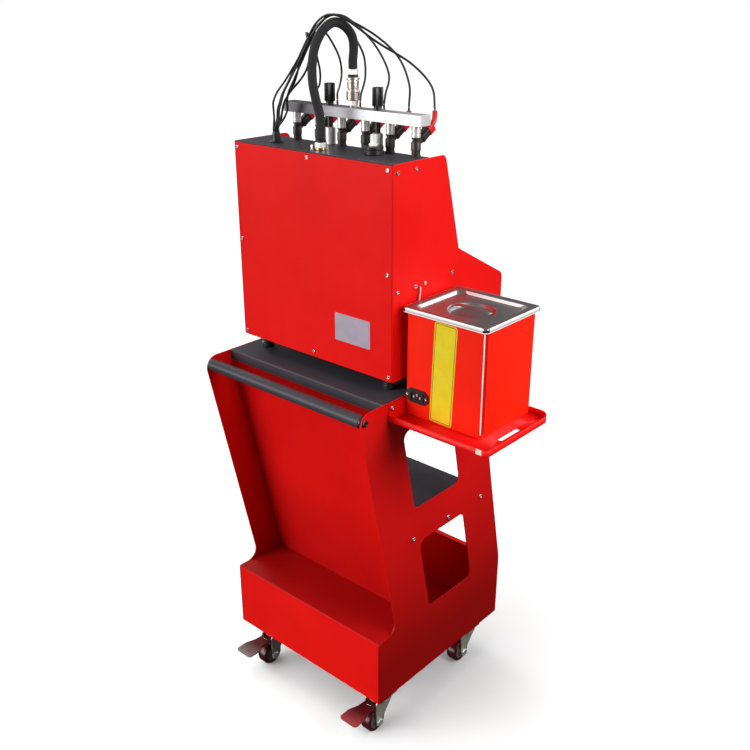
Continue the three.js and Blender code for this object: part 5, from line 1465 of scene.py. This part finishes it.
# %% Brake pedals
for side, name in ((-1, "left"), (1, "right")):
    flared = [(-13.15, 28.35, 1), (13.15, 28.35, 1), (15, 50, 6), (22, 70, 8), (22, 98, 7), (-22, 98, 7),
              (-22, 70, 8), (-15, 50, 6)]
    pedal = gather(
        plate(flared, "z", 63.6, 66.6),
        box((-13.15, 16.5, 63.6), (13.15, 30, 66.6)),
        box((-13.15, 26, 52.2), (13.15, 29.8, 66.4)),
        box((-8, 88, 66.4), (8, 90.4, 67.6), 1.1), box((-8, 82, 66.4), (8, 84.4, 67.6), 1.1),
        shift(rod(2.5, -13, 13, "x", 20), 0, 19, 62.35),
        (box((-6, 31.5, 66.5), (6, 34.5, 66.9), 1), 1),
    )
    finish_piece(f"pedal_{name}_detail", shift(pedal, 155 * side, -55), [PEDAL_PAINT[name], screw_metal],
                 f"pedal_{name}", f"brake_pedal_rear_{name}", edge=0.7)

# %% [markdown]
# ## The studio
# A plain pale floor, a bright world, and a few large soft lights, as in a product picture: the surroundings are
# almost white and the shadows on the floor are faint.

# %% Floor
def stage_piece(name, form, material, unseen_by):
    """A piece of the studio, that doesn't belong to the object and that some rays pass through."""
    mesh = bpy.data.meshes.new(name)
    form.to_mesh(mesh)
    form.free()
    mesh.materials.append(material)
    piece = bpy.data.objects.new(name, mesh)
    for ray in unseen_by:
        setattr(piece, f"visible_{ray}", False)
    bpy.context.scene.collection.objects.link(piece)
    print(name, "is unseen by", unseen_by)
    return piece


disc = bmesh.new()
bmesh.ops.create_circle(disc, cap_ends=True, segments=96, radius=60)
floor = stage_piece("studio_floor", disc, new_finish(
    "studio_floor", (0.62, 0.62, 0.62), 0.6, Emission_Color=(1, 1, 1, 1), Emission_Strength=0.09,
    Specular_IOR_Level=0.2), ("diffuse", "glossy"))

# %% [markdown]
# The world is brighter above than below, so upward faces and edges read against upright ones. Behind it all stands
# a white backdrop that only the camera sees, so it gives the white surroundings of a cut-out picture and no light.

# %% World and backdrop
world = bpy.data.worlds.new("studio")
world.use_nodes = True
sky = world.node_tree
way_up = sky.nodes.new("ShaderNodeSeparateXYZ")
sky.links.new(sky.nodes.new("ShaderNodeTexCoord").outputs["Generated"], way_up.inputs[0])
level = sky.nodes.new("ShaderNodeMapRange")
sky.links.new(way_up.outputs[2], level.inputs["Value"])
for key, value in {"From Min": -0.6, "From Max": 0.9, "To Min": 0.03, "To Max": 0.3}.items():
    level.inputs[key].default_value = value
sky.links.new(level.outputs[0], sky.nodes["Background"].inputs["Strength"])
sky.nodes["Background"].inputs["Color"].default_value = (1, 1, 1, 1)
bpy.context.scene.world = world
bpy.context.scene.view_settings.view_transform = "Standard"

ball = bmesh.new()
bmesh.ops.create_uvsphere(ball, u_segments=48, v_segments=24, radius=61)
stage_piece("studio_backdrop", ball, new_finish(
    "studio_backdrop", (0, 0, 0), 1.0, Emission_Color=(1, 1, 1, 1), Emission_Strength=1.0, Specular_IOR_Level=0.0),
    ("diffuse", "glossy", "transmission", "volume_scatter", "shadow"))

# %% [markdown]
# ### The lights
# Large soft boxes far away light the object almost evenly. A sun lamp with a wide disc does the same and needs no
# distance. One more lights the floor alone, so the shadow under the object stays faint, and a square lamp near the
# bath brightens the side with the tray.

# %% Lights
def wide_light(name, towards_light, level, spread):
    """A far light with a wide disc. Its level is how bright it makes a white face that looks straight at it."""
    data = bpy.data.lights.new(name, "SUN")
    data.energy = level * math.pi
    data.angle = math.radians(spread)
    lamp = bpy.data.objects.new(name, data)
    lamp.rotation_euler = (-Vector(towards_light)).to_track_quat("-Z", "Y").to_euler()
    bpy.context.scene.collection.objects.link(lamp)
    return lamp


wide_light("left_fill", (0.45, 0.8, 0.2), 1.04, 45)
wide_light("side_fill", (0.95, -0.2, 0.3), 0.42, 40)
wide_light("front_fill", (-0.2, -0.9, 0.4), 0.32, 50)
floor_light = wide_light("floor_light", (0.45, 0.4, 1), 1.25, 80)
only_floor = bpy.data.collections.new("only_floor")
only_floor.objects.link(floor)
floor_light.light_linking.receiver_collection = only_floor
key_data = bpy.data.lights.new("right_key", "AREA")
key_data.shape, key_data.size, key_data.energy = "SQUARE", 1.0, 22
key = bpy.data.objects.new("right_key", key_data)
key.location = (-1.4, -0.1, 1.55)
key.rotation_euler = (Vector((-0.2, 0, 1.0)) - key.location).to_track_quat("-Z", "Y").to_euler()
key.visible_camera = False
bpy.context.scene.collection.objects.link(key)
print("lights:", [data.name for data in bpy.data.lights])

# %% [markdown]
# ## Pieces
# The number of finished pieces is printed. The drawn object has to stay within the CAD model's
# box.

# %% Number of pieces
print("pieces:", len(PIECES))
